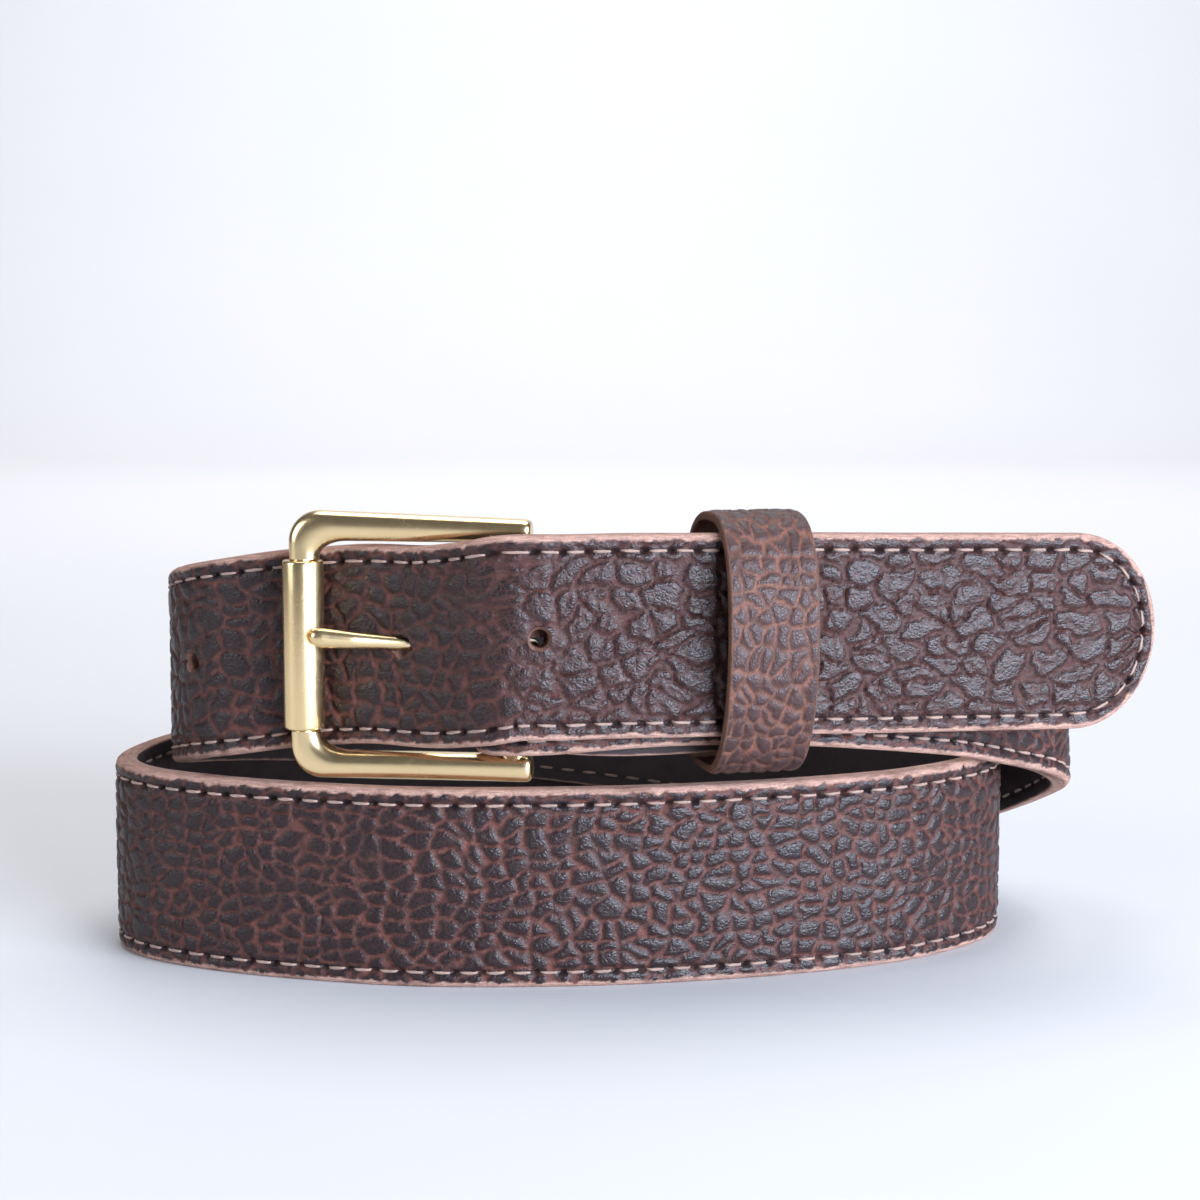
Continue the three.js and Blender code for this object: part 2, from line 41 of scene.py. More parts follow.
# ------------------------------------------------------------------ the strap's centre line (same as the CAD's)
W, T = 38.1, 4.3
H, TH = W / 2, T / 2
SPLIT = 0.475
TIP = 17.0
HEEL, ROLL = (-16.3, 4.0), (-56.3, 9.0)
PRONG_Z = 63.9
rf, R1, R2 = 5.15, 6.75, 10.1
def polar(c, r, a): return c[0] + r * math.cos(math.radians(a)), c[1] + r * math.sin(math.radians(a))
C = [(34, 15.6, 43.8), (22, 12.2, 43.6), (8, 9.9, 43.2), (-6, 9.2, 43.7)]
C += [(*polar(HEEL, rf, a), 44.75 + 0.15 * (a - 90) / 180) for a in (90, 120, 150, 180, 210, 240, 270)]
C += [(-4, 0.3, 45.3), (8, 3.0, 45.8), (22, 6.6, 45.7), (38, 11.2, 44.8), (52, 16.3, 43.3), (64, 22.3, 41.5), (75, 29.6, 39.3),
      (84, 37.8, 36.4), (92.6, 47.5, 33.0), (95.6, 57, 29.2), (93.9, 69, 24.6), (87.9, 82, 19.0), (77, 94, 12.5), (62, 104, 6.4),
      (44, 111.5, 2.0), (25, 116.0, 0), (4, 118.0, 0), (-18, 116.5, 0), (-40, 111.5, 0), (-60, 102.5, 0), (-76, 88.5, 0), (-88, 70, 0),
      (-94.6, 51, 0), (-95.4, 36, 0), (-90.2, 25.4, 0), (-80.5, 17.8, 0), (-68, 11.6, 0), (-54, 6.9, 0), (-38, 3.0, 0), (-22, 1.9, 0),
      (-7, 2.5, 0), (8, 4.3, 0), (22, 7.3, 0), (36, 11.3, 0), (48, 15.9, 0), (59, 21.6, 0), (69, 29.6, 0), (76.6, 38.6, 0),
      (80.6, 50, 0.2), (80.0, 62, 1.6), (74.5, 75, 4.2), (64, 87.5, 7.6), (50, 97.0, 11.2), (32, 103.6, 14.8), (12, 107, 17.6),
      (-10, 107.4, 20.4), (-32, 103.5, 23.4), (-52, 95, 26.5), (-68, 82.5, 29.5), (-79.2, 66, 32.4), (-84.2, 50, 34.9), (-84.0, 37, 37.2),
      (-79.6, 26.8, 39.7), (-73.3, 20.4, 41.4), (-65.5, 16.9, 42.9)]
C += [(*polar(ROLL, R1, a), 44.0 + 0.4 * (100 - a) / 38) for a in (100, 78, 62)]
C += [(-45.5, 11.0, 45.3), (-38, 6.7, 45.6), (-31, 1.9, 45.95), (-27, -1.0, 46.6)]
C += [(*polar(HEEL, R2, a), z) for a, z in ((236, 47.5), (258, 48.3))]
C += [(-8, -5.55, 48.6), (2, -3.85, 48.65), (14, -1.45, 48.5), (28, 2.0, 48.3), (42, 5.6, 48.0), (56, 9.4, 47.6), (72, 14.0, 47.2),
      (90, 19.4, 46.7), (108.2, 25.2, 46.3)]
C = np.array(C, float); C[:, 2] += H
ct = np.concatenate([[0], np.cumsum(np.linalg.norm(np.diff(C, axis=0), axis=1))])
def natural(t, y):
    n = len(t); h = np.diff(t); A = np.zeros((n, n)); r = np.zeros_like(y)
    A[0, 0] = A[-1, -1] = 1
    for i in range(1, n - 1):
        A[i, i - 1], A[i, i], A[i, i + 1] = h[i - 1], 2 * (h[i - 1] + h[i]), h[i]
        r[i] = 6 * ((y[i + 1] - y[i]) / h[i] - (y[i] - y[i - 1]) / h[i - 1])
    return np.linalg.solve(A, r)
M2 = natural(ct, C)
q = np.linspace(0, ct[-1], 12001)
qi = np.clip(np.searchsorted(ct, q) - 1, 0, len(ct) - 2)
hh = (ct[qi + 1] - ct[qi])[:, None]; qa = (ct[qi + 1] - q)[:, None]; qb = (q - ct[qi])[:, None]
P = M2[qi] * qa ** 3 / (6 * hh) + M2[qi + 1] * qb ** 3 / (6 * hh) + (C[qi] / hh - M2[qi] * hh / 6) * qa + (C[qi + 1] / hh - M2[qi + 1] * hh / 6) * qb
P[:, 2] = np.maximum(P[:, 2], H)
S = np.concatenate([[0], np.cumsum(np.linalg.norm(np.diff(P, axis=0), axis=1))])
L = S[-1]
def centre(s):
    s = np.clip(s, 0, L)
    return np.stack([np.interp(s, S, P[:, k]) for k in range(3)], -1)
def sframe(s):
    s = np.asarray(s, float)
    t = centre(s + 0.4) - centre(s - 0.4); t /= np.linalg.norm(t, axis=-1, keepdims=True)
    n = np.stack([t[..., 1], -t[..., 0], 0 * t[..., 0]], -1); n /= np.linalg.norm(n, axis=-1, keepdims=True)
    b = np.cross(n, t); b /= np.linalg.norm(b, axis=-1, keepdims=True)
    b *= np.where(b[..., 2:3] < 0, -1, 1)
    return centre(s), t, n, b
def on_strap(s, w, n):
    p, t, nn, b = sframe(s)
    return p + nn * np.asarray(n)[..., None] + b * np.asarray(w)[..., None]
def half_width(s, inset=0.0):
    u = (s - (L - TIP)) / (TIP - inset)
    return (H - inset) * np.where(u <= 0, 1, np.sqrt(np.clip(1 - u * u, 0, 1)))

# ------------------------------------------------------------------ noise in numpy
def rnd(i, j, k):
    x = (i.astype(np.int64) * 374761393 + j.astype(np.int64) * 668265263 + np.int64(k) * 2147483647) & 0xFFFFFFFF
    x = ((x ^ (x >> 13)) * 1274126177) & 0xFFFFFFFF
    x = ((x ^ (x >> 16)) * 2246822519) & 0xFFFFFFFF
    return ((x ^ (x >> 15)) & 0xFFFFFF) / float(0x1000000)
def noise(u, v, k=0):
    iu, iv = np.floor(u), np.floor(v); fu, fv = u - iu, v - iv
    fu = fu * fu * fu * (fu * (fu * 6 - 15) + 10); fv = fv * fv * fv * (fv * (fv * 6 - 15) + 10)
    a, b, c, d = rnd(iu, iv, k), rnd(iu + 1, iv, k), rnd(iu, iv + 1, k), rnd(iu + 1, iv + 1, k)
    return (a + (b - a) * fu) * (1 - fv) + (c + (d - c) * fu) * fv
def fbm(u, v, k=0, o=3):
    r = 0; a = 0.5; t = 0
    for i in range(o):
        r = r + a * noise(u * 2 ** i, v * 2 ** i, k + 17 * i); t += a; a *= 0.5
    return r / t
def cells(u, v, k, jit=0.82):
    """distance to the nearest cell border, the cell's random number and the distance to its middle"""
    iu, iv = np.floor(u), np.floor(v)
    bd = np.full(u.shape, 9.0); bx = np.zeros_like(u); by = np.zeros_like(u); br = np.zeros_like(u)
    seeds = []
    for di in (-2, -1, 0, 1, 2):
        for dj in (-2, -1, 0, 1, 2):
            ci, cj = iu + di, iv + dj
            x = ci + 0.5 + (rnd(ci, cj, k) - 0.5) * jit; y = cj + 0.5 + (rnd(ci, cj, k + 5) - 0.5) * jit
            seeds.append((x, y))
            d = (x - u) ** 2 + (y - v) ** 2
            m = d < bd
            bd = np.where(m, d, bd); bx = np.where(m, x, bx); by = np.where(m, y, by)
            br = np.where(m, rnd(ci, cj, k + 9), br)
    e = np.full(u.shape, 9.0)
    for x, y in seeds:
        dx, dy = x - bx, y - by
        l = np.sqrt(dx * dx + dy * dy)
        m = l > 1e-6
        dd = (((x + bx) / 2 - u) * dx + ((y + by) / 2 - v) * dy) / np.maximum(l, 1e-6)
        e = np.where(m, np.minimum(e, dd), e)
    return e, br, np.sqrt(bd)

# ------------------------------------------------------------------ mesh helpers
def new_mesh(name, verts, faces, mats=(), smooth=True, attrs=None, fmat=None):
    me = bpy.data.meshes.new(name)
    v = (np.asarray(verts, float) - ORIGIN) * MM
    if isinstance(faces, np.ndarray) and faces.ndim == 2:
        n, k = faces.shape
        me.vertices.add(len(v)); me.vertices.foreach_set("co", v.astype(np.float32).ravel())
        me.loops.add(n * k); me.loops.foreach_set("vertex_index", faces.astype(np.int32).ravel())
        me.polygons.add(n); me.polygons.foreach_set("loop_start", np.arange(0, n * k, k, dtype=np.int32))
        me.update(calc_edges=True)
    else:
        me.from_pydata([tuple(x) for x in v], [], [tuple(int(i) for i in f) for f in faces])
    me.validate()
    for m in mats: me.materials.append(getattr(m, "m", m))
    if fmat is not None: me.polygons.foreach_set("material_index", np.asarray(fmat, np.int32))
    for key, val in (attrs or {}).items():
        if val.ndim == 1:
            a = me.attributes.new(key, "FLOAT", "POINT"); a.data.foreach_set("value", val.astype(np.float32))
        else:
            a = me.attributes.new(key, "FLOAT_VECTOR", "POINT"); a.data.foreach_set("vector", val.astype(np.float32).ravel())
    me.polygons.foreach_set("use_smooth", np.full(len(me.polygons), smooth))
    me.update()
    o = bpy.data.objects.new(name, me); bpy.context.scene.collection.objects.link(o)
    return o
def grid_faces(nr, nc, wrap_c=True):
    """rings nr, points per ring nc"""
    i = np.arange(nr - 1)[:, None]; c = np.arange(nc if wrap_c else nc - 1)[None, :]
    a = i * nc + c; b = i * nc + (c + 1) % nc
    return np.stack([a, b, b + nc, a + nc], -1).reshape(-1, 4)
def orient(o):
    bm = bmesh.new(); bm.from_mesh(o.data); bmesh.ops.recalc_face_normals(bm, faces=bm.faces); bm.to_mesh(o.data); bm.free()
    o.data.update(); return o
def loft(name, rings, mats=(), smooth=True):
    rings = np.asarray(rings, float); nr, nc, _ = rings.shape
    f = [tuple(x) for x in grid_faces(nr, nc)]
    f.append(tuple(range(nc))[::-1]); f.append(tuple((nr - 1) * nc + k for k in range(nc)))
    return orient(new_mesh(name, rings.reshape(-1, 3), f, mats, smooth))
def apply_mods(o):
    dg = bpy.context.evaluated_depsgraph_get(); me = bpy.data.meshes.new_from_object(o.evaluated_get(dg), preserve_all_data_layers=True, depsgraph=dg)
    o.modifiers.clear(); old = o.data; o.data = me; bpy.data.meshes.remove(old); return o
def boolean(o, cutters, op="DIFFERENCE"):
    for c in cutters:
        m = o.modifiers.new("b", "BOOLEAN"); m.operation = op; m.object = c; m.solver = "EXACT"
        try: m.material_mode = "TRANSFER"
        except Exception: pass
    apply_mods(o)
    for c in cutters: bpy.data.objects.remove(c)
    return o
def lathe(name, prof, mats=(), n=48, place=None, smooth=True):
    """prof: (radius, height) pairs; place maps an (N,3) array of local points, axis along z"""
    a = np.arange(n) * 2 * np.pi / n
    r = np.array(prof, float)
    rings = np.stack([np.stack([np.outer(r[:, 0], np.cos(a)), np.outer(r[:, 0], np.sin(a)), np.repeat(r[:, 1:2], n, 1)], -1)])[0]
    pts = rings.reshape(-1, 3)
    f = [tuple(x) for x in grid_faces(len(r), n)]
    closed = abs(r[0, 0] - r[-1, 0]) < 1e-9 and abs(r[0, 1] - r[-1, 1]) < 1e-9
    if not closed:
        f.append(tuple(range(n))[::-1]); f.append(tuple((len(r) - 1) * n + k for k in range(n)))
    if place: pts = place(pts)
    o = new_mesh(name, pts, f, mats, smooth)
    bm = bmesh.new(); bm.from_mesh(o.data); bmesh.ops.remove_doubles(bm, verts=bm.verts, dist=1e-7)
    bmesh.ops.recalc_face_normals(bm, faces=bm.faces); bm.to_mesh(o.data); bm.free()
    return o
def auto_smooth(o, angle=35):
    bm = bmesh.new(); bm.from_mesh(o.data)
    for e in bm.edges:
        if len(e.link_faces) == 2 and e.calc_face_angle(0) > math.radians(angle): e.smooth = False
    bm.to_mesh(o.data); bm.free(); return o

# ------------------------------------------------------------------ materials
class Mat:
    def __init__(s, name):
        s.m = bpy.data.materials.new(name); s.m.use_nodes = True; s.t = s.m.node_tree; s.n = s.t.nodes; s.l = s.t.links
        s.b = s.n["Principled BSDF"]
    def node(s, kind, **kw):
        x = s.n.new(kind)
        for k, v in kw.items():
            if k in x.inputs: x.inputs[k].default_value = v
            else: setattr(x, k, v)
        return x
    def link(s, a, b): s.l.new(a, b)
    def attr(s, name): return s.node("ShaderNodeAttribute", attribute_name=name)
    def ramp(s, fac, stops):
        r = s.node("ShaderNodeValToRGB"); cr = r.color_ramp
        while len(cr.elements) < len(stops): cr.elements.new(0.5)
        for e, (p, c) in zip(cr.elements, stops): e.position = p; e.color = (*c, 1) if len(c) == 3 else c
        s.link(fac, r.inputs[0]); return r.outputs[0]
    def mix(s, fac, a, b, blend="MIX"):
        x = s.node("ShaderNodeMix", data_type="RGBA", blend_type=blend)
        for sock, v in ((x.inputs[0], fac), (x.inputs[6], a), (x.inputs[7], b)):
            if isinstance(v, bpy.types.NodeSocket): s.link(v, sock)
            elif isinstance(v, (int, float)): sock.default_value = v
            else: sock.default_value = (*v, 1)
        return x.outputs[2]
    def math(s, op, a, b=0.0, c=None, clamp=False):
        x = s.node("ShaderNodeMath", operation=op, use_clamp=clamp)
        for i, v in enumerate((a, b) if c is None else (a, b, c)):
            if isinstance(v, bpy.types.NodeSocket): s.link(v, x.inputs[i])
            else: x.inputs[i].default_value = v
        return x.outputs[0]
    def noise(s, vec, scale, detail=4, rough=0.55, dist=0.0):
        x = s.node("ShaderNodeTexNoise"); x.inputs["Scale"].default_value = scale; x.inputs["Detail"].default_value = detail
        x.inputs["Roughness"].default_value = rough; x.inputs["Distortion"].default_value = dist
        s.link(vec, x.inputs["Vector"]); return x.outputs["Fac"]
    def voro(s, vec, scale, feature="DISTANCE_TO_EDGE"):
        x = s.node("ShaderNodeTexVoronoi", feature=feature); x.inputs["Scale"].default_value = scale
        s.link(vec, x.inputs["Vector"]); return x.outputs["Distance"]
    def mapping(s, vec, scale):
        x = s.node("ShaderNodeMapping"); x.inputs["Scale"].default_value = scale; s.link(vec, x.inputs["Vector"]); return x.outputs[0]
    def bump(s, height, strength, dist, chain=None):
        x = s.node("ShaderNodeBump"); x.inputs["Strength"].default_value = strength; x.inputs["Distance"].default_value = dist
        s.link(height, x.inputs["Height"])
        if chain is not None: s.link(chain, x.inputs["Normal"])
        return x.outputs[0]
def objco(m): return m.node("ShaderNodeTexCoord").outputs["Object"]

TAN = (0.52, 0.305, 0.24)
def raw_edge(m, sw, base, dark):
    """colour and height of a cut edge: fibres that run along the strap, stained in patches"""
    a = m.noise(m.mapping(sw, (0.22, 1.6, 1.6)), 1.5, 5, 0.65); b = m.noise(m.mapping(sw, (0.5, 1.0, 1.0)), 0.22, 4, 0.6)
    f = m.noise(m.mapping(sw, (0.8, 3.2, 3.2)), 3.2, 5, 0.72); g = m.noise(sw, 2.2, 3, 0.6)
    c = m.mix(m.math("MULTIPLY", m.math("SUBTRACT", a, 0.38, clamp=True), 3.4, clamp=True), tuple(x * 0.5 for x in base), base)
    c = m.mix(m.math("MULTIPLY", m.math("SUBTRACT", f, 0.52, clamp=True), 5.0, clamp=True), c, (min(1, base[0] * 1.5), min(1, base[1] * 1.6), min(1, base[2] * 1.65)))
    c = m.mix(m.math("MULTIPLY", m.math("SUBTRACT", b, 0.54, clamp=True), 4.0, clamp=True), c, dark)
    c = m.mix(m.math("MULTIPLY", m.math("SUBTRACT", g, 0.66, clamp=True), 6.0, clamp=True), c, dark)
    return c, f, a
def leather(name, top, crease, mid, rough=(0.33, 0.62), fine=1.0, web=0.16, spec=0.5, edge=TAN, stain=(0.12, 0.05, 0.038), bill=True):
    """pebbled leather: attributes crease, cell, pit (mask for the painted shade at the needle holes) and edgem 0..1, sw
    = place on the strap in mm
    """
    m = Mat(name); sw = m.attr("sw").outputs["Vector"]; cr = m.attr("crease").outputs["Fac"]; cell = m.attr("cell").outputs["Fac"]
    pit = m.attr("pit").outputs["Fac"]; em = m.attr("edgem").outputs["Fac"]
    big = m.noise(sw, 0.045, 3); mott = m.noise(sw, 0.5, 5, 0.6); fib = m.noise(sw, 3.2, 4, 0.65)
    wr = m.voro(m.mapping(sw, (1.0, 1.25, 1.0)), 0.95 * fine); wr2 = m.voro(sw, 2.6 * fine)
    c = m.mix(m.math("MULTIPLY", m.math("SUBTRACT", mott, 0.35, clamp=True), 1.6, clamp=True), top, mid)
    c = m.mix(m.math("MULTIPLY", cell, 0.35), c, mid)
    wl = m.math("SUBTRACT", 1.0, m.math("MULTIPLY", wr, 11.0, clamp=True))
    if bill:
        xs = m.node("ShaderNodeSeparateXYZ"); m.link(sw, xs.inputs[0])
        bl = m.math("MULTIPLY", m.math("SUBTRACT", xs.outputs[0], 985.0), 0.03, clamp=True)
        c = m.mix(m.math("MULTIPLY", wl, m.math("ADD", web, m.math("MULTIPLY", bl, 0.4))), c, crease)
    else:
        c = m.mix(m.math("MULTIPLY", wl, web), c, crease)
    cm = m.math("MULTIPLY", cr, m.math("ADD", 0.75, m.math("MULTIPLY", big, 0.7)), clamp=True)
    dk = tuple(x * 0.42 for x in crease); cc = m.mix(m.math("MULTIPLY", m.math("SUBTRACT", mott, 0.4, clamp=True), 4.0, clamp=True), crease, dk)
    if bill: cc = m.mix(m.math("MULTIPLY", bl, 0.6), cc, (0.035, 0.012, 0.0105))
    c = m.mix(cm, c, cc)
    # painted shade: the leather in the needle-hole pits is coloured near black
    c = m.mix(m.math("MULTIPLY", pit, 0.7), c, (0.008, 0.005, 0.005))
    ec, ef, ea = raw_edge(m, sw, edge, stain)
    c = m.mix(em, c, ec)
    m.link(c, m.b.inputs["Base Color"])
    r = m.math("ADD", rough[0], m.math("MULTIPLY", mott, 0.14)); r = m.math("ADD", r, m.math("MULTIPLY", cr, rough[1] - rough[0])); r = m.math("ADD", r, m.math("MULTIPLY", wl, 0.08), clamp=True)
    r = m.math("ADD", r, m.math("MULTIPLY", em, 0.5), clamp=True)
    m.link(r, m.b.inputs["Roughness"])
    m.b.inputs["Specular IOR Level"].default_value = spec
    n = m.bump(m.math("MULTIPLY", wr, 4.0, clamp=True), 0.4, 0.00012)
    n = m.bump(m.math("MULTIPLY", wr2, 3.0, clamp=True), 0.3, 0.00005, n)
    n = m.bump(fib, 0.3, 0.00005, n)
    n = m.bump(m.math("MULTIPLY", em, m.math("ADD", ef, ea)), 0.8, 0.0003, n)
    m.link(n, m.b.inputs["Normal"])
    return m
def edge_mat(name, base=TAN, dark=(0.13, 0.06, 0.045)):
    m = Mat(name); sw = m.attr("sw").outputs["Vector"]
    c, f, a = raw_edge(m, sw, base, dark)
    m.link(c, m.b.inputs["Base Color"]); m.b.inputs["Roughness"].default_value = 0.8; m.b.inputs["Specular IOR Level"].default_value = 0.3
    n = m.bump(f, 0.6, 0.0002); n = m.bump(a, 0.6, 0.0003, n); m.link(n, m.b.inputs["Normal"])
    return m
def metal(name, base, tint, rough=0.24):
    m = Mat(name); o = objco(m)
    a = m.noise(o, 60, 4); b = m.noise(m.mapping(o, (1, 1, 0.12)), 1600, 3); d = m.noise(o, 420, 5, 0.7)
    c = m.mix(m.math("MULTIPLY", m.math("SUBTRACT", a, 0.4, clamp=True), 2.0, clamp=True), base, tint)
    m.link(c, m.b.inputs["Base Color"]); m.b.inputs["Metallic"].default_value = 1.0
    r = m.math("ADD", rough, m.math("MULTIPLY", m.math("SUBTRACT", a, 0.5), 0.14)); r = m.math("ADD", r, m.math("MULTIPLY", m.math("SUBTRACT", d, 0.5), 0.12))
    m.link(r, m.b.inputs["Roughness"])
    n = m.bump(b, 0.12, 0.00002); n = m.bump(d, 0.15, 0.00003, n); m.link(n, m.b.inputs["Normal"])
    return m
def thread_mat(name, a, b):
    m = Mat(name); o = objco(m); n1 = m.noise(o, 900, 3); n2 = m.noise(o, 90, 3)
    c = m.mix(n1, a, b); c = m.mix(m.math("MULTIPLY", m.math("SUBTRACT", n2, 0.45, clamp=True), 2.2, clamp=True), c, tuple(x * 0.55 for x in a))
    m.link(c, m.b.inputs["Base Color"]); m.b.inputs["Roughness"].default_value = 0.62
    m.b.inputs["Sheen Weight"].default_value = 0.2
    m.link(m.bump(n1, 0.5, 0.00006), m.b.inputs["Normal"]); return m

M_face = leather("leather_face", (0.012, 0.0075, 0.0085), (0.105, 0.036, 0.027), (0.021, 0.011, 0.011), rough=(0.27, 0.6), spec=0.27)
M_keeper = leather("leather_keeper", (0.032, 0.0175, 0.018), (0.15, 0.06, 0.04), (0.052, 0.026, 0.024), spec=0.3, rough=(0.33, 0.62), fine=1.25, edge=(0.17, 0.08, 0.052), stain=(0.05, 0.022, 0.016), bill=False)
M_lining = leather("leather_lining", (0.03, 0.019, 0.02), (0.02, 0.012, 0.012), (0.04, 0.026, 0.026), rough=(0.5, 0.62), fine=1.6, web=0.3, spec=0.35, bill=False)
M_brass = metal("satin_brass", (0.86, 0.66, 0.37), (0.78, 0.575, 0.30), 0.25)
M_steel = metal("plain_steel", (0.62, 0.61, 0.6), (0.55, 0.54, 0.53), 0.3)
M_thread = thread_mat("seam_thread", (0.23, 0.14, 0.105), (0.33, 0.21, 0.165))

# ------------------------------------------------------------------ stitches: where they are
PITCH = 5.05
SEAM_W = H - 3.0
HOLES = [L - 123.7 - 25.4 * i - (3.4 if i == 1 else 0) for i in range(5)]
def seam_points():
    """needle holes of the seam: (s, w) of each, in sewing order, down one edge, round the tip and back"""
    end = L - TIP
    s = np.linspace(3.0, end, 4000); up = np.stack([s, np.full_like(s, SEAM_W)], 1)
    a = np.linspace(0, np.pi, 900)[1:-1]; tip = np.stack([end + (TIP - 3.0) * np.sin(a), SEAM_W * np.cos(a)], 1)
    dn = up[::-1] * [1, -1]
    line = np.concatenate([up, tip, dn]); d = np.concatenate([[0], np.cumsum(np.linalg.norm(np.diff(line, axis=0), axis=1))])
    n = int(round(d[-1] / PITCH)); x = np.linspace(0, d[-1], n + 1)
    return np.stack([np.interp(x, d, line[:, 0]), np.interp(x, d, line[:, 1])], 1)
SEAM = seam_points()

# ------------------------------------------------------------------ the grain: height and colour over the strap
_ss = np.linspace(0, L, 6000); _sm = (_ss[1:] + _ss[:-1]) / 2
def along(size): return np.concatenate([[0], np.cumsum(np.diff(_ss) / size(_sm))])
def pebble(s): return np.interp(s, [0, 130, 200, 430, 480, 560, 680, 760, 880, 930, 965, L], [3.4, 3.3, 3.1, 3.1, 3.0, 3.15, 3.1, 3.2, 3.5, 3.8, 3.6, 3.6])
def pebble_asp(s): return np.interp(s, [0, 440, 480, 560, 640, 880, 910, 950, 1000, L], [1.3, 1.35, 1.4, 1.4, 1.35, 1.3, 1.4, 1.45, 1.3, 1.3])
_u1 = along(lambda x: pebble(x) * pebble_asp(x)); _u2 = along(lambda x: 4.7 * np.interp(x, [960, 1040, 1090, L], [1.25, 1.3, 1.55, 1.6]))
def sstep(x, a, b):
    t = np.clip((x - a) / (b - a), 0, 1); return t * t * (3 - 2 * t)
def grain(s, w):
    """height of the grain in mm, how deep in a crease each point is, and its pebble's random number"""
    B = sstep(s + 16 * (noise(s * 0.12, w * 0.12, 2) - 0.5), 990, 1018)
    g1, g2 = fbm(s * 0.1, w * 0.1, 3) - 0.5, fbm(s * 0.1 + 31, w * 0.1 + 7, 4) - 0.5
    f1, f2 = noise(s * 0.55, w * 0.55, 5) - 0.5, noise(s * 0.55 + 13, w * 0.55 + 5, 6) - 0.5
    fine = fbm(s * 1.1, w * 1.1, 15, 2) - 0.5
    # small round pebbles of the coil
    u = np.interp(s, _ss, _u1) + g1 * 1.3 + f1 * 0.3; v = w / pebble(s) + 40 + g2 * 1.3 + f2 * 0.3
    e, r, c = cells(u, v, 11, 0.72)
    keep = np.clip((fbm(s * 0.25 + 5, w * 0.25, 8) - 0.22) * 4.0, 0.3, 1)
    wid = 0.05 + 0.06 * noise(s * 0.35, w * 0.35, 9)
    d = np.clip((e - wid * 0.4) / 0.28, 0, 1); dome = 1 - (1 - d) ** 2.1
    amp = np.interp(s, [0, 440, 500, 640, 700, 900, 1133], [0.4, 0.46, 0.56, 0.56, 0.5, 0.56, 0.5])
    hA = amp * (dome - 1) * (0.45 + 0.55 * keep) + (r - 0.5) * 0.12 + fine * 0.1 + 0.2
    cA = np.clip(1.2 - e / (wid + 0.045), 0, 1) * (0.45 + 0.55 * keep)
    # broad flat plates of the billet, parted by wide creases and cut by fine cracks
    u = np.interp(s, _ss, _u2) + g1 * 1.1 + f1 * 0.22; v = w / 4.7 + 40 + g2 * 1.1 + f2 * 0.22
    e1, r1, c1 = cells(u, v, 31, 0.8)
    e2, r2, c2 = cells(u * 2.05 + 3.3, v * 1.9 + 1.7, 37, 0.8)
    w1 = 0.035 + 0.13 * np.clip(noise(s * 0.16, w * 0.3, 33) - 0.2, 0, 1) ** 1.2
    w2 = 0.03 + 0.07 * noise(s * 0.4, w * 0.4, 34); k2 = np.clip((noise(s * 0.25 + 3, w * 0.25, 35) - 0.22) * 3, 0, 1)
    p1 = sstep(e1, w1 * 0.45, w1 + 0.07); p2 = sstep(e2, w2 * 0.3, w2 + 0.12)
    hB = 0.55 * (p1 - 1) + 0.26 * (p2 - 1) * k2 + (r1 - 0.5) * 0.1 + (r2 - 0.5) * 0.05 + fine * 0.08 + 0.16
    cB = np.clip(np.maximum(1.1 - e1 / (w1 + 0.015), (1.05 - e2 / (w2 + 0.02)) * k2 * 0.9), 0, 1)
    h = hA * (1 - B) + hB * B; col = cA * (1 - B) + cB * B
    return h, col, np.where(B > 0.5, r1, r)
def seam_relief(s, w):
    """pulled-down groove along the seam and a pit at each needle hole"""
    kd = kdtree.KDTree(len(SEAM))
    for i, (a, b) in enumerate(SEAM): kd.insert((a, b, 0), i)
    kd.balance()
    near = (np.abs(np.abs(w) - SEAM_W) < 2.2) | (s > L - TIP - 2)
    g = np.zeros_like(s); pit = np.zeros_like(s)
    idx = np.nonzero(near)[0]
    for i in idx:
        x, y = s[i], w[i]
        co, k, d = kd.find((x, y, 0))
        a = SEAM[max(k - 1, 0)]; b = SEAM[min(k + 1, len(SEAM) - 1)]
        t = b - a; t = t / (math.hypot(t[0], t[1]) + 1e-9)
        rx, ry = x - co[0], y - co[1]
        al, ac = rx * t[0] + ry * t[1], -rx * t[1] + ry * t[0]
        g[i] = math.exp(-(ac / 0.75) ** 2)
        pit[i] = math.exp(-(abs(al) / 0.85) ** 3 - (abs(ac) / 0.42) ** 2.4)
    return g, pit

# ------------------------------------------------------------------ strap plies
STEP = 0.44
def stations(step):
    a = np.arange(0, L - TIP, step)
    phi = np.linspace(0, np.pi / 2, int(TIP * 1.57 / step) + 1)
    b = L - TIP + TIP * np.sin(phi[:-1]); e = L - TIP + TIP * math.sin(math.radians(89.2))
    return np.unique(np.concatenate([a, b, [e]]))
_te = np.linspace(-np.pi / 2, np.pi / 2, 721)
TIP_LINE = np.stack([L - TIP + TIP * np.cos(_te), H * np.sin(_te)], 1)
def edge_distance(s, w):
    d = H - np.abs(w)
    m = s > L - TIP - 3
    if m.any():
        p = np.stack([s[m], w[m]], 1); best = np.full(len(p), 99.0)
        for k in range(0, 720):
            a, b = TIP_LINE[k], TIP_LINE[k + 1]; ab = b - a
            t = np.clip(((p - a) @ ab) / (ab @ ab), 0, 1); best = np.minimum(best, np.linalg.norm(p - a - t[:, None] * ab, axis=1))
        d[m] = np.where(s[m] > L - TIP, best, np.minimum(best, d[m]))
    return np.maximum(d, 0)
BEV_W, BEV_N = 1.45, 1.35
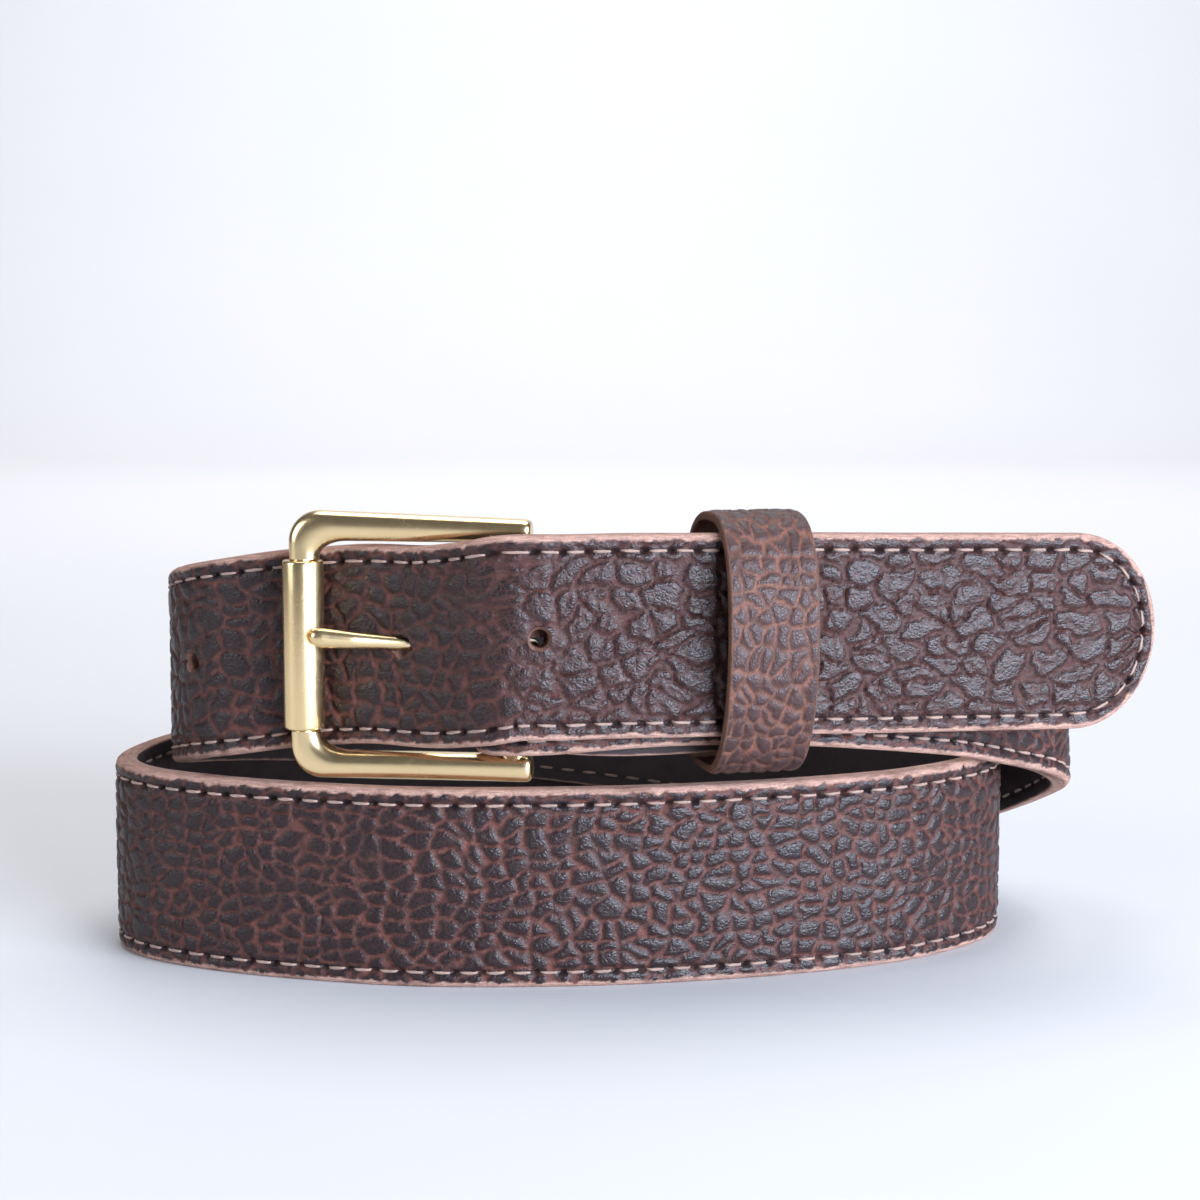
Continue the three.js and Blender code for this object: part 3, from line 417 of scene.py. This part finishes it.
def ply(name, outer, mats):
    st = stations(STEP if outer else 0.9)
    wstep = STEP if outer else 0.9
    core = np.arange(-(H - 1.8), H - 1.8 + 1e-6, 2 * (H - 1.8) / round(2 * (H - 1.8) / wstep)) / H
    ed = 1 - np.array([1.5, 1.2, 0.9, 0.65, 0.42, 0.24, 0.1, 0.0]) / H
    x = np.concatenate([-ed[::-1], core, ed])            # across, -1..1
    nx = len(x)
    hw = half_width(st)
    s = np.repeat(st[:, None], nx, 1); w = hw[:, None] * x[None, :]
    sf, wf = s.ravel().copy(), w.ravel().copy()
    d = edge_distance(sf, wf)
    b = np.clip(1 - d / BEV_W, 0, 1)
    if outer:
        h, col, r = grain(sf, wf); g, pit = seam_relief(sf, wf)
        fade = np.clip((d - 0.7) / 1.6, 0, 1)
        n = TH - BEV_N * (1 - np.sqrt(np.clip(1 - b * b, 0, 1))) + h * fade * (1 - 0.55 * g) - 0.3 * g - 0.9 * pit
        fib = (fbm(sf * 1.7, wf * 2.6, 31) - 0.5) * 0.16 * (1 - fade); n = n + fib
        top_n, low_n = n, SPLIT
    else:
        g, pit = seam_relief(sf, wf); fade = np.clip((d - 0.4) / 1.0, 0, 1)
        b2 = np.clip(1 - d / 0.7, 0, 1)
        h = (fbm(sf * 0.5, wf * 0.5, 41) - 0.5) * 0.12; col = np.clip(fbm(sf * 0.4, wf * 0.4, 43) - 0.45, 0, 1); r = noise(sf * 0.3, wf * 0.3, 44)
        n = -(TH - 0.6 * (1 - np.sqrt(np.clip(1 - b2 * b2, 0, 1))) + h * fade - 0.22 * g - 0.5 * pit)
        top_n, low_n = n, SPLIT
    top_n = top_n.reshape(len(st), nx)
    # ring: grain or lining surface across, down one edge, back along the glue line, up the other edge
    edge_n = [0.22, 0.48, 0.74, 1.0]
    ring_s = np.repeat(st[:, None], nx + 8 + 3, 1)
    cols_w = [w]; cols_n = [top_n]
    e0 = top_n[:, -1:]
    for k in edge_n: cols_w.append(w[:, -1:] + 0 * e0); cols_n.append(e0 + (low_n - e0) * k)
    for k in (0.5, 0.0, -0.5): cols_w.append(hw[:, None] * k * 1.0); cols_n.append(np.full_like(e0, low_n))
    e1 = top_n[:, :1]
    for k in edge_n[::-1]: cols_w.append(w[:, :1]); cols_n.append(e1 + (low_n - e1) * k)
    rw = np.concatenate(cols_w, 1); rn = np.concatenate(cols_n, 1)
    nc = rw.shape[1]
    # fibres along the cut edge
    side = np.zeros((len(st), nc)); side[:, nx:nx + 3] = 1; side[:, nx + 8:] = 1
    rs = ring_s; jit = (fbm(rs * 1.3, rn * 2.2 + 9 * np.sign(rw), 51) - 0.5) * 0.22 * side
    rw = rw + np.sign(rw) * np.minimum(jit, 0.04)
    rw = np.clip(rw, -H, H)
    V = on_strap(rs, rw, rn).reshape(-1, 3)
    F = grid_faces(len(st), nc)
    dall = np.zeros((len(st), nc)); dall[:, :nx] = d.reshape(len(st), nx)
    colall = np.zeros((len(st), nc)); colall[:, :nx] = col.reshape(len(st), nx)
    call = np.zeros((len(st), nc)); call[:, :nx] = r.reshape(len(st), nx)
    # mask for the painted shade that darkens the leather at the needle holes, stored as the pit attribute
    pit_shade = np.zeros((len(st), nc)); pit_shade[:, :nx] = np.clip(pit * 1.25, 0, 1).reshape(len(st), nx)
    lim = 1.05 if outer else 0.35
    wob = (fbm(rs * 0.7, rw * 0.25, 61, 4) - 0.5) * (1.5 if outer else 0.4)
    eall = np.clip(0.5 + (lim + wob - dall) / 0.3, 0, 1)
    swv = np.stack([rs, rw, rn], -1).reshape(-1, 3)
    capa = [list(range(nc))[::-1], [(len(st) - 1) * nc + k for k in range(nc)]]
    o = new_mesh(name, V, F, mats, True, {"crease": colall.ravel(), "cell": call.ravel(), "pit": pit_shade.ravel(), "edgem": eall.ravel(), "sw": swv})
    bm = bmesh.new(); bm.from_mesh(o.data); bm.verts.ensure_lookup_table()
    for c in capa:
        bm.faces.new([bm.verts[i] for i in c])
    bmesh.ops.recalc_face_normals(bm, faces=bm.faces); bm.to_mesh(o.data); bm.free()
    return o
face = ply("strap_grain_ply", True, [M_face])
lining = ply("strap_lining_ply", False, [M_lining])

# cutters for the holes, the slot and the prong
def at_strap(s, w=0.0):
    p, t, n, b = (a for a in sframe(np.array([s]))); return p[0] + b[0] * w, t[0], n[0], b[0]
def along_n(s, w=0.0):
    p, t, n, b = at_strap(s, w)
    return lambda v: p + v[:, :1] * t + v[:, 1:2] * b + v[:, 2:3] * n
def prong_at(u):
    x0 = HEEL[0] - 3.2; x = x0 + (-54.5 - x0) * u
    y = 4.25 + 1.15 * np.sin(np.pi * np.minimum(1, u * 1.3)) + (3.05 - 4.25) * u ** 2.6
    return np.stack([x, y, PRONG_Z + 2.8 * u], -1)
PU = [0, .3, .55, .7, .82, .9, .95, .985, 1]; PZ = [1.5, 1.35, 1.3, 1.5, 1.75, 1.95, 1.8, 1.1, .45]; PY = [1.15, 1.15, 1.15, 1.25, 1.35, 1.45, 1.35, .9, .4]
def smooth_interp(u, x, y):
    M = natural(np.array(x, float), np.array(y, float)[:, None])[:, 0]; x = np.array(x); y = np.array(y)
    i = np.clip(np.searchsorted(x, u) - 1, 0, len(x) - 2); h = x[i + 1] - x[i]; a = x[i + 1] - u; b = u - x[i]
    return M[i] * a ** 3 / (6 * h) + M[i + 1] * b ** 3 / (6 * h) + (y[i] / h - M[i] * h / 6) * a + (y[i + 1] / h - M[i + 1] * h / 6) * b
def prong_blade(name, inflate=0.0, turn=0.0, mats=(), nr=46, nc=28):
    u = np.concatenate([np.linspace(0, 0.93, nr), 1 - 0.07 * (1 - np.sin(np.linspace(0.05, 1, 10) * np.pi / 2))])
    c = prong_at(u); hz = np.interp(u, PU, PZ); hy = np.interp(u, PU, PY)
    hz = smooth_interp(np.minimum(u, 0.93), [0, .3, .55, .75, .93], [1.5, 1.35, 1.3, 1.62, 1.93]); hy = smooth_interp(np.minimum(u, 0.93), [0, .3, .55, .75, .93], [1.15, 1.15, 1.15, 1.3, 1.4])
    k = np.sqrt(np.clip(1 - (np.maximum(u - 0.93, 0) / 0.0702) ** 2, 0.0008, 1)); hz = hz * k; hy = hy * k
    a = np.arange(nc) * 2 * np.pi / nc
    rings = c[:, None, :] + np.stack([0 * a[None] + 0 * hz[:, None], (hy[:, None] + inflate) * np.sin(a), (hz[:, None] + inflate) * np.cos(a)], -1)
    rings[-1, :, 0] -= inflate
    if turn:
        t = math.radians(turn); x, y = rings[..., 0] - HEEL[0], rings[..., 1] - HEEL[1]
        rings[..., 0], rings[..., 1] = HEEL[0] + x * math.cos(t) - y * math.sin(t), HEEL[1] + x * math.sin(t) + y * math.cos(t)
    return loft(name, rings, mats)
def hole_cutter(s, mats, lo, hi, r=1.75):
    return lathe("c", [(0, lo), (r, lo), (r, TH - 1.0), (r + 0.12, TH - 0.7), (r + 0.38, TH - 0.32), (r + 0.72, hi), (0, hi)], mats, 40, along_n(s))
M_hole = edge_mat("hole_wall", (0.22, 0.105, 0.075), (0.07, 0.03, 0.022))
def slot_cutters(mats):
    a = lathe("c", [(0, PRONG_Z - 3.5), (7.62, PRONG_Z - 3.5), (7.62, PRONG_Z + 3.5), (0, PRONG_Z + 3.5)], mats, 64, lambda v: v + [HEEL[0], HEEL[1], 0])
    v = np.array([[x, y, z] for x in (HEEL[0] - 0.1, HEEL[0] + 5.8) for y in (-3.55, 11.8) for z in (PRONG_Z - 3.5, PRONG_Z + 3.5)])
    b = new_mesh("c", v, [(0, 1, 3, 2), (4, 6, 7, 5), (0, 4, 5, 1), (2, 3, 7, 6), (0, 2, 6, 4), (1, 5, 7, 3)], mats, False); orient(b)
    return [a, b]
SCREW_S, SCREW_W = 95.5, (-8.0, 8.0)
def screw_cutters(mats):
    return [lathe("c", [(0, -10.3), (2.5, -10.3), (2.5, TH + 0.4), (0, TH + 0.4)], mats, 32, along_n(SCREW_S, w)) for w in SCREW_W]
def cut(o, outer):
    me = o.data; n = len(me.vertices); co = np.zeros(n * 3, np.float32); me.vertices.foreach_get("co", co); co = co.reshape(-1, 3)
    keep = {}
    for k in ("crease", "cell", "pit", "edgem"):
        a = np.zeros(n, np.float32); me.attributes[k].data.foreach_get("value", a); keep[k] = a
    a = np.zeros(n * 3, np.float32); me.attributes["sw"].data.foreach_get("vector", a); keep["sw"] = a.reshape(-1, 3)
    mats = [M_hole]
    cs = [hole_cutter(s, mats, -TH - 1.2, TH + 0.6) for s in HOLES]
    cs += slot_cutters(mats) + screw_cutters(mats)
    cs += [prong_blade("c", 0.38, a, mats, 20, 20) for a in (0.0, 2.1, 4.2)]
    boolean(o, cs)
    # carry the surface's data over to the new points
    me = o.data; m = len(me.vertices); c2 = np.zeros(m * 3, np.float32); me.vertices.foreach_get("co", c2); c2 = c2.reshape(-1, 3)
    kd = kdtree.KDTree(n)
    for i in range(n): kd.insert(co[i], i)
    kd.balance()
    idx = np.fromiter((kd.find(c2[i])[1] for i in range(m)), np.int64, m)
    for k, v in keep.items():
        if k in me.attributes: me.attributes.remove(me.attributes[k])
        if v.ndim == 1:
            a = me.attributes.new(k, "FLOAT", "POINT"); a.data.foreach_set("value", v[idx])
        else:
            a = me.attributes.new(k, "FLOAT_VECTOR", "POINT"); a.data.foreach_set("vector", np.ascontiguousarray(v[idx]).ravel())
    auto_smooth(o, 60)
    return o
cut(face, True); cut(lining, False)

# ------------------------------------------------------------------ stitches, one by one
def stitches(name, outer):
    sign = 1 if outer else -1
    A, B = SEAM[:-1], SEAM[1:]
    mid = (A + B) / 2; t = B - A; ln = np.linalg.norm(t, axis=1); t = t / ln[:, None]; nrm = np.stack([-t[:, 1], t[:, 0]], 1)
    NR, NC = 13, 8
    x = np.linspace(-1, 1, NR); a = np.arange(NC) * 2 * np.pi / NC
    half = ln / 2 - 0.72
    # the thread rises out of one hole, lies on the leather and dives into the next
    rise = np.clip(1 - np.abs(x) ** 5, 0, 1)
    r0 = 0.27
    verts = []
    for i in range(len(mid)):
        j = rnd(np.array([i]), np.array([int(outer)]), 77)[0] - 0.5
        al = x * half[i]; ss = mid[i, 0] + t[i, 0] * al + nrm[i, 0] * (j * 0.15 * x); ww = mid[i, 1] + t[i, 1] * al + nrm[i, 1] * (j * 0.15 * x)
        base = TH - 0.24 + r0 * 0.62
        n0 = sign * (base - (1 - rise) * 0.95)
        rr = r0 * (1 + 0.1 * j) * (0.8 + 0.2 * rise)
        tw = 2.0 * (a[None, :] - x[:, None] * 2.6)
        rad = rr[:, None] * (1 + 0.13 * np.cos(tw))
        side = rad * np.cos(a)[None, :] * 1.02; up = rad * np.sin(a)[None, :] * 0.86
        S_ = ss[:, None] + nrm[i, 0] * side; W_ = ww[:, None] + nrm[i, 1] * side; N_ = n0[:, None] + sign * up
        verts.append(np.stack([S_, W_, N_], -1))
    V = np.array(verts); k = V.shape[0]
    pts = on_strap(V[..., 0].ravel(), V[..., 1].ravel(), V[..., 2].ravel())
    f = grid_faces(NR, NC); F = (f[None] + (np.arange(k) * NR * NC)[:, None, None]).reshape(-1, 4)
    o = new_mesh(name, pts, F, [M_thread], True)
    return orient(o)
needle = stitches("seam_stitches_outer", True)
bobbin = stitches("seam_stitches_inner", False)

# ------------------------------------------------------------------ buckle
du = np.array([ROLL[0] - HEEL[0], ROLL[1] - HEEL[1]]); SPAN = float(np.hypot(*du)); du = du / SPAN; dn = np.array([du[1], -du[0]])
def buckle_pt(u, z, n):
    u, z, n = np.broadcast_arrays(u, z, n)
    return np.stack([HEEL[0] + du[0] * u + dn[0] * n, HEEL[1] + du[1] * u + dn[1] * n, z], -1)
def arm(name, sign):
    zo, zi, seam = (90.2, 84.4, 81.0) if sign > 0 else (39.1, 44.4, 48.1)
    taper = 1.4 if sign > 0 else 0.0; Ru = 5.6
    ul, ui = SPAN + 2.5, SPAN - 3.1
    Ro, Ri = 6.0, (abs(zi - seam) - 0.05)
    f = np.linspace(0, 1, 34) ** 0.9
    o = [(-3.6 + (ul - Ro + 3.6) * k, zo - taper * (1 - k)) for k in f]; i = [(-3.6 + (ui - Ru + 3.6) * k, zi) for k in f]
    for t in np.linspace(0, np.pi / 2, 18)[1:]:
        o.append((ul - Ro + Ro * math.sin(t), zo - sign * Ro * (1 - math.cos(t)))); i.append((ui - Ru + Ru * math.sin(t), zi - sign * Ri * (1 - math.cos(t))))
    for k in np.linspace(0, 1, 5)[1:]:
        o.append((ul, o[50][1] + (seam - o[50][1]) * k)); i.append((ui, i[50][1] + (seam - i[50][1]) * k))
    o, i = np.array(o), np.array(i); mid = (o + i) / 2; hv = (o - i) / 2
    a = np.arange(44) * 2 * np.pi / 44; ca, sa = np.cos(a), np.sin(a); ex = 2 / 2.6
    sx = np.sign(ca) * np.abs(ca) ** ex; sy = np.sign(sa) * np.abs(sa) ** ex
    rings = []; r = 1.1; hw = np.linalg.norm(hv[0])
    for t in np.linspace(0, np.pi / 2, 8)[:-1]:          # rounded end
        k = r * (1 - math.sin(t)); c = 1 - k / hw; c2 = 1 - k / 2.8; u = -3.6 + r * (1 - math.cos(t))
        rings.append(buckle_pt(u, mid[0, 1] + hv[0, 1] * sx * c, 2.8 * sy * c2))
    lead = mid[0, 0] + r
    for j in range(len(mid)):
        if mid[j, 0] < lead and j < 20: continue
        rings.append(buckle_pt(mid[j, 0] + hv[j, 0] * sx, mid[j, 1] + hv[j, 1] * sx, 2.8 * sy))
    return loft(name, np.array(rings), [M_brass])
up_arm, low_arm = arm("a1", 1), arm("a2", -1)
def upright(name, r, z0, z1, xy, n=40, c=0.3):
    return lathe(name, [(0, z0), (r - c, z0), (r, z0 + c), (r, z1 - c), (r - c, z1), (0, z1)], [M_brass], n, lambda v: v + [xy[0], xy[1], 0])
heel = upright("a3", 2.5, 42.9, 85.9, HEEL); rbar = upright("a4", 2.2, 46.6, 82.5, ROLL)
buckle = up_arm; buckle.name = "buckle_casting"
boolean(buckle, [low_arm, heel, rbar], "UNION"); auto_smooth(buckle, 50)
roller = lathe("buckle_roller_tube", [(2.45, 48.4), (3.45, 48.4), (3.72, 48.48), (3.9, 48.68), (3.95, 48.95), (3.95, 64.5), (3.95, 80.15), (3.9, 80.42), (3.72, 80.62), (3.45, 80.7), (2.45, 80.7), (2.45, 48.4)], [M_brass], 72, lambda v: v + [ROLL[0], ROLL[1], 0])
auto_smooth(roller, 40)
prong = prong_blade("buckle_tongue", 0, 0, [M_brass])
loop = lathe("lp", [(2.75, -1.9), (3.2, -2.0), (4.2, -2.0), (4.6, -1.6), (4.72, 0), (4.6, 1.6), (4.2, 2.0), (3.2, 2.0), (2.75, 1.9), (2.75, -1.9)], [M_brass], 64, lambda v: v + [HEEL[0], HEEL[1], PRONG_Z])
boolean(prong, [loop], "UNION"); auto_smooth(prong, 50)

# ------------------------------------------------------------------ keeper
KS = L - 81.5
kp, kt, kn, kb = at_strap(KS); kn2 = np.array([kn[0], kn[1]]); kt2 = np.array([-kn[1], kn[0]])
KN0, KN1, KNC, KZ0, KZ1, KZC, KT, KW = -22.5, 10.0, -5.0, 40.3, 90.3, 68.0, 1.9, 17.4
def keeper_pt(x, y, t):
    x, y, t = np.broadcast_arrays(x, y, t)
    return np.stack([kp[0] + kn2[0] * x + kt2[0] * t, kp[1] + kn2[1] * x + kt2[1] * t, y], -1)
def keeper_line(ins):
    """the slack loop's outline from the butt joint on its back, under the strap, up the front and over"""
    t = np.radians(np.arange(180.0, 540.01, 0.4)); c, q_ = np.cos(t), np.sin(t)
    m = np.where(c > 0, np.where(q_ > 0, 2.6, 2.05), np.where(q_ > 0, 2.6, 5.0))
    x = KNC + np.where(c > 0, KN1 - KNC, KNC - KN0) * np.sign(c) * np.abs(c) ** (2 / m)
    z = KZC + np.where(q_ > 0, KZ1 - KZC, KZC - KZ0) * np.sign(q_) * np.abs(q_) ** (2 / m)
    p = np.stack([x, z], 1); p = p[np.concatenate([[True], np.linalg.norm(np.diff(p, axis=0), axis=1) > 1e-6])]
    p, _ = resample(p, 700); d = np.gradient(p, axis=0); d /= np.linalg.norm(d, axis=1)[:, None]
    p = p - ins * np.stack([d[:, 1], -d[:, 0]], 1)
    back = p[:, 0] < KN0 + ins + 0.4
    keep = ~(back & (np.abs(p[:, 1] - KZC) < 0.2)); p = p[keep]
    return np.concatenate([[(KN0 + ins, KZC - 0.2)], p, [(KN0 + ins, KZC + 0.2)]])
def resample(p, n):
    d = np.concatenate([[0], np.cumsum(np.linalg.norm(np.diff(p, axis=0), axis=1))]); x = np.linspace(0, d[-1], n)
    return np.stack([np.interp(x, d, p[:, 0]), np.interp(x, d, p[:, 1])], 1), x
def keeper():
    step = 0.38
    line = keeper_line(KT / 2); n = int(np.linalg.norm(np.diff(line, axis=0), axis=1).sum() / step); mid, x = resample(line, n)
    d = np.gradient(mid, axis=0); d /= np.linalg.norm(d, axis=1)[:, None]; out = np.stack([d[:, 1], -d[:, 0]], 1)
    tw = np.linspace(-1, 1, int(KW / step)) * (KW / 2 - 0.9); ed = np.array([0.75, 0.5, 0.28, 0.1, 0.0])
    t = np.concatenate([-(KW / 2 - ed[::-1]), tw, KW / 2 - ed]); nt = len(t)
    X, Tt = np.meshgrid(x, t, indexing="ij"); dd = KW / 2 - np.abs(Tt); b = np.clip(1 - dd / 0.8, 0, 1)
    u = X / 3.5; v = Tt / 2.9 + 20
    u2 = u + (fbm(X * 0.14, Tt * 0.14, 70) - 0.5) * 1.1 + (noise(X * 0.6, Tt * 0.6, 71) - 0.5) * 0.25; v2 = v + (fbm(X * 0.14 + 9, Tt * 0.14, 72) - 0.5) * 1.1 + (noise(X * 0.6, Tt * 0.6 + 4, 73) - 0.5) * 0.25
    e, r, c = cells(u2, v2, 81, 0.7); wid = 0.06 + 0.06 * noise(X * 0.4, Tt * 0.4, 85)
    d_ = np.clip((e - wid * 0.5) / 0.34, 0, 1)
    cr = np.clip(1.12 - e / (wid + 0.055), 0, 1); sub = np.clip((fbm(X * 0.9, Tt * 2.2, 87) - 0.62) * 5, 0, 1) * 0.3
    h = 0.42 * (-(1 - d_) ** 2.4) + (r - 0.5) * 0.12 + (fbm(X * 1.1, Tt * 1.1, 88, 2) - 0.5) * 0.1 + 0.14
    fade = np.clip((dd - 0.4) / 1.0, 0, 1)
    wob = (fbm(X * 0.08, Tt * 0.02, 90, 2) - 0.5) * 0.7                                # the edges aren't quite parallel
    no = KT / 2 - 0.75 * (1 - np.sqrt(np.clip(1 - b * b, 0, 1))) + h * fade - 0.12
    cols = [(Tt + wob * (np.abs(Tt) > KW / 2 - 1.2) * 0.25, no)]
    for k in (0.35, 0.7, 1.0): cols.append((Tt[:, -1:], no[:, -1:] + (-KT / 2 + 0.1 - no[:, -1:]) * k))
    ti = np.linspace(1, -1, 9)[None, :] * (KW / 2 - 0.4) + 0 * X[:, :1]; cols.append((ti, -KT / 2 + 0.05 + 0 * ti))
    for k in (1.0, 0.7, 0.35): cols.append((Tt[:, :1], no[:, :1] + (-KT / 2 + 0.1 - no[:, :1]) * k))
    tt = np.concatenate([c[0] for c in cols], 1); nn = np.concatenate([c[1] for c in cols], 1); nc = tt.shape[1]
    px = mid[:, :1] + out[:, :1] * nn; py = mid[:, 1:] + out[:, 1:] * nn
    tt = np.clip(tt, -KW / 2, KW / 2)
    V = keeper_pt(px, py, tt).reshape(-1, 3)
    F = [tuple(f) for f in grid_faces(n, nc)]
    z = np.zeros((n, nc)); A = {}
    for key, val in (("crease", np.clip(cr + sub, 0, 1)), ("cell", r)):
        q_ = z.copy(); q_[:, :nt] = val; A[key] = q_.ravel()
    A["pit"] = z.ravel().copy(); dq = z.copy(); dq[:, :nt] = dd; A["edgem"] = np.clip(0.5 + (0.42 - dq) / 0.2, 0, 1).ravel()
    A["sw"] = np.stack([np.repeat(X[:, :1], nc, 1) + 300, tt, nn], -1).reshape(-1, 3)
    F += [tuple(range(nc))[::-1], tuple((n - 1) * nc + k for k in range(nc))]
    o = new_mesh("keeper_loop_leather", V, F, [M_keeper], True, A)
    return orient(o)
keep_o = keeper()

# ------------------------------------------------------------------ hidden fittings
fb = -(9.7 + 0.3)
def fitting(name, prof, w, mats): return auto_smooth(lathe(name, prof, mats, 48, along_n(SCREW_S, w)), 45)
posts, screws = [], []
for w, tag in zip(SCREW_W, ("lower", "upper")):
    posts.append(fitting("post_" + tag, [(0, fb - 1.3), (2.6, fb - 1.28), (3.4, fb - 1.12), (3.85, fb - 0.8), (4.0, fb - 0.4), (3.95, fb), (2.3, fb), (2.3, 1.2), (1.45, 1.2), (1.45, fb + 2.4), (0, fb + 2.4)], w, [M_steel]))
    s_ = fitting("screw_" + tag, [(0, fb + 3.0), (1.15, fb + 3.0), (1.15, TH + 0.25), (3.3, TH + 0.25), (3.55, TH + 0.36), (3.6, TH + 0.55), (3.4, TH + 0.76), (2.9, TH + 0.88), (0, TH + 0.9)], w, [M_steel])
    p, t, n, b = at_strap(SCREW_S, w)                                                  # screwdriver slot
    vv = np.array([p + t * x + b * y + n * z for x in (-2.6, 2.6) for y in (-0.35, 0.35) for z in (TH + 0.5, TH + 2)])
    sl = orient(new_mesh("c", vv, [(0, 1, 3, 2), (4, 6, 7, 5), (0, 4, 5, 1), (2, 3, 7, 6), (0, 2, 6, 4), (1, 5, 7, 3)], [M_steel], False))
    screws.append(auto_smooth(boolean(s_, [sl]), 40))
def staple(name, dz):
    g = 0.35; x = KN0 - 0.35 - 0.35; m = KZC; w = 3.25
    path = [(x + 2.2, m - w), (x + 1.2, m - w)] + [polar((x + 0.6, m - w + 0.6), 0.6, a) for a in (270, 240, 210, 180)] + [(x, m - 1.5), (x, m + 1.5)] + [polar((x + 0.6, m + w - 0.6), 0.6, a) for a in (180, 150, 120, 90)] + [(x + 1.2, m + w), (x + 2.2, m + w)]
    path = np.array(path); d = np.gradient(path, axis=0); d /= np.linalg.norm(d, axis=1)[:, None]; k = np.stack([-d[:, 1], d[:, 0]], 1); a = np.arange(12) * np.pi / 6
    rings = [keeper_pt(path[i, 0] + k[i, 0] * g * np.cos(a), path[i, 1] + k[i, 1] * g * np.cos(a), -dz + g * np.sin(a)) for i in range(len(path))]
    return loft(name, rings, [M_steel])
staples = [staple("staple_wire_left", 5.0), staple("staple_wire_right", -5.0)]

# ------------------------------------------------------------------ riding
for o, n, b, sl in ((face, "strap_face_leather", "strap", "leather_face"), (lining, "strap_lining_leather", "strap", "leather_lining"), (needle, "seam_needle_thread", "strap", "thread"),
                    (bobbin, "seam_bobbin_thread", "strap", "thread"), (buckle, "buckle_frame", "frame", "brass"), (roller, "buckle_roller", "roller", "brass"), (prong, "buckle_prong", "prong", "brass"),
                    (keep_o, "keeper_band", "keeper", "leather_keeper"), (staples[0], "keeper_staple_left", "keeper", "steel"), (staples[1], "keeper_staple_right", "keeper", "steel"),
                    (posts[0], "fold_screw_post_lower", "strap", "steel"), (posts[1], "fold_screw_post_upper", "strap", "steel"), (screws[0], "fold_screw_lower", "strap", "steel"), (screws[1], "fold_screw_upper", "strap", "steel")):
    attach(o, b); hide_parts(n)

# ------------------------------------------------------------------ floor, light, camera
def m_floor():
    m = Mat("pale_floor"); o = objco(m); a = m.noise(o, 3, 3)
    m.link(m.mix(a, (0.58, 0.58, 0.60), (0.61, 0.61, 0.63)), m.b.inputs["Base Color"]); m.b.inputs["Roughness"].default_value = 0.6
    m.b.inputs["Specular IOR Level"].default_value = 0.2
    return m
def backdrop():
    prof = [(-2.5, 0.0)] + [(y, 0.0) for y in np.linspace(-1.5, 1.6, 8)] + [(1.6 + 0.9 * math.sin(a), 0.9 - 0.9 * math.cos(a)) for a in np.linspace(0.1, math.pi / 2, 14)] + [(2.5, 3.5)]
    v = []
    for y, z in prof: v += [(-3.5, y, z), (3.5, y, z)]
    f = [(2 * i, 2 * i + 1, 2 * i + 3, 2 * i + 2) for i in range(len(prof) - 1)]
    me = bpy.data.meshes.new("studio_floor"); me.from_pydata(v, [], f); me.materials.append(FLOOR)
    for p in me.polygons: p.use_smooth = True
    o = bpy.data.objects.new("studio_floor", me); bpy.context.scene.collection.objects.link(o); return o
FLOOR = m_floor().m
backdrop()
def area(name, loc, target, size, power, color, sy=None):
    l = bpy.data.lights.new(name, "AREA"); l.shape = "RECTANGLE"; l.size = size; l.size_y = sy or size; l.energy = power; l.color = color
    o = bpy.data.objects.new(name, l); bpy.context.scene.collection.objects.link(o); o.location = loc
    o.rotation_euler = (Vector(target) - Vector(loc)).to_track_quat("-Z", "Y").to_euler(); return o
area("key_right", (0.76, -0.88, 0.26), (0, 0, 0.05), 1.0, 46, (0.74, 0.84, 1.0), 0.46)
area("fill_left", (-1.0, -0.45, 0.4), (0, 0, 0.05), 0.5, 5, (0.86, 0.92, 1.0))
area("backdrop_wash", (0, 1.1, 1.4), (0, 2.5, 0.25), 1.6, 32, (1.0, 1.0, 1.0), 0.5)
area("top", (0.1, 0.3, 1.3), (0, 0.05, 0.0), 1.1, 17, (1.0, 1.0, 1.0))
w = bpy.data.worlds.new("studio"); bpy.context.scene.world = w; w.use_nodes = True
w.node_tree.nodes["Background"].inputs[0].default_value = (0.93, 0.93, 1.0, 1); w.node_tree.nodes["Background"].inputs[1].default_value = 0.12
cam = bpy.data.cameras.new("photo_view"); co = bpy.data.objects.new("photo_view", cam); bpy.context.scene.collection.objects.link(co)
cam.sensor_width = 36; cam.lens = 78.0; cam.clip_start = 0.01
co.location = ((0 - ORIGIN[0]) * MM, (-481 - ORIGIN[1]) * MM, 129 * MM)
co.rotation_euler = (math.pi / 2 - math.atan((600 - 303) / 2600), 0, 0)
bpy.context.scene.camera = co
bpy.context.scene.view_settings.view_transform = "Standard"
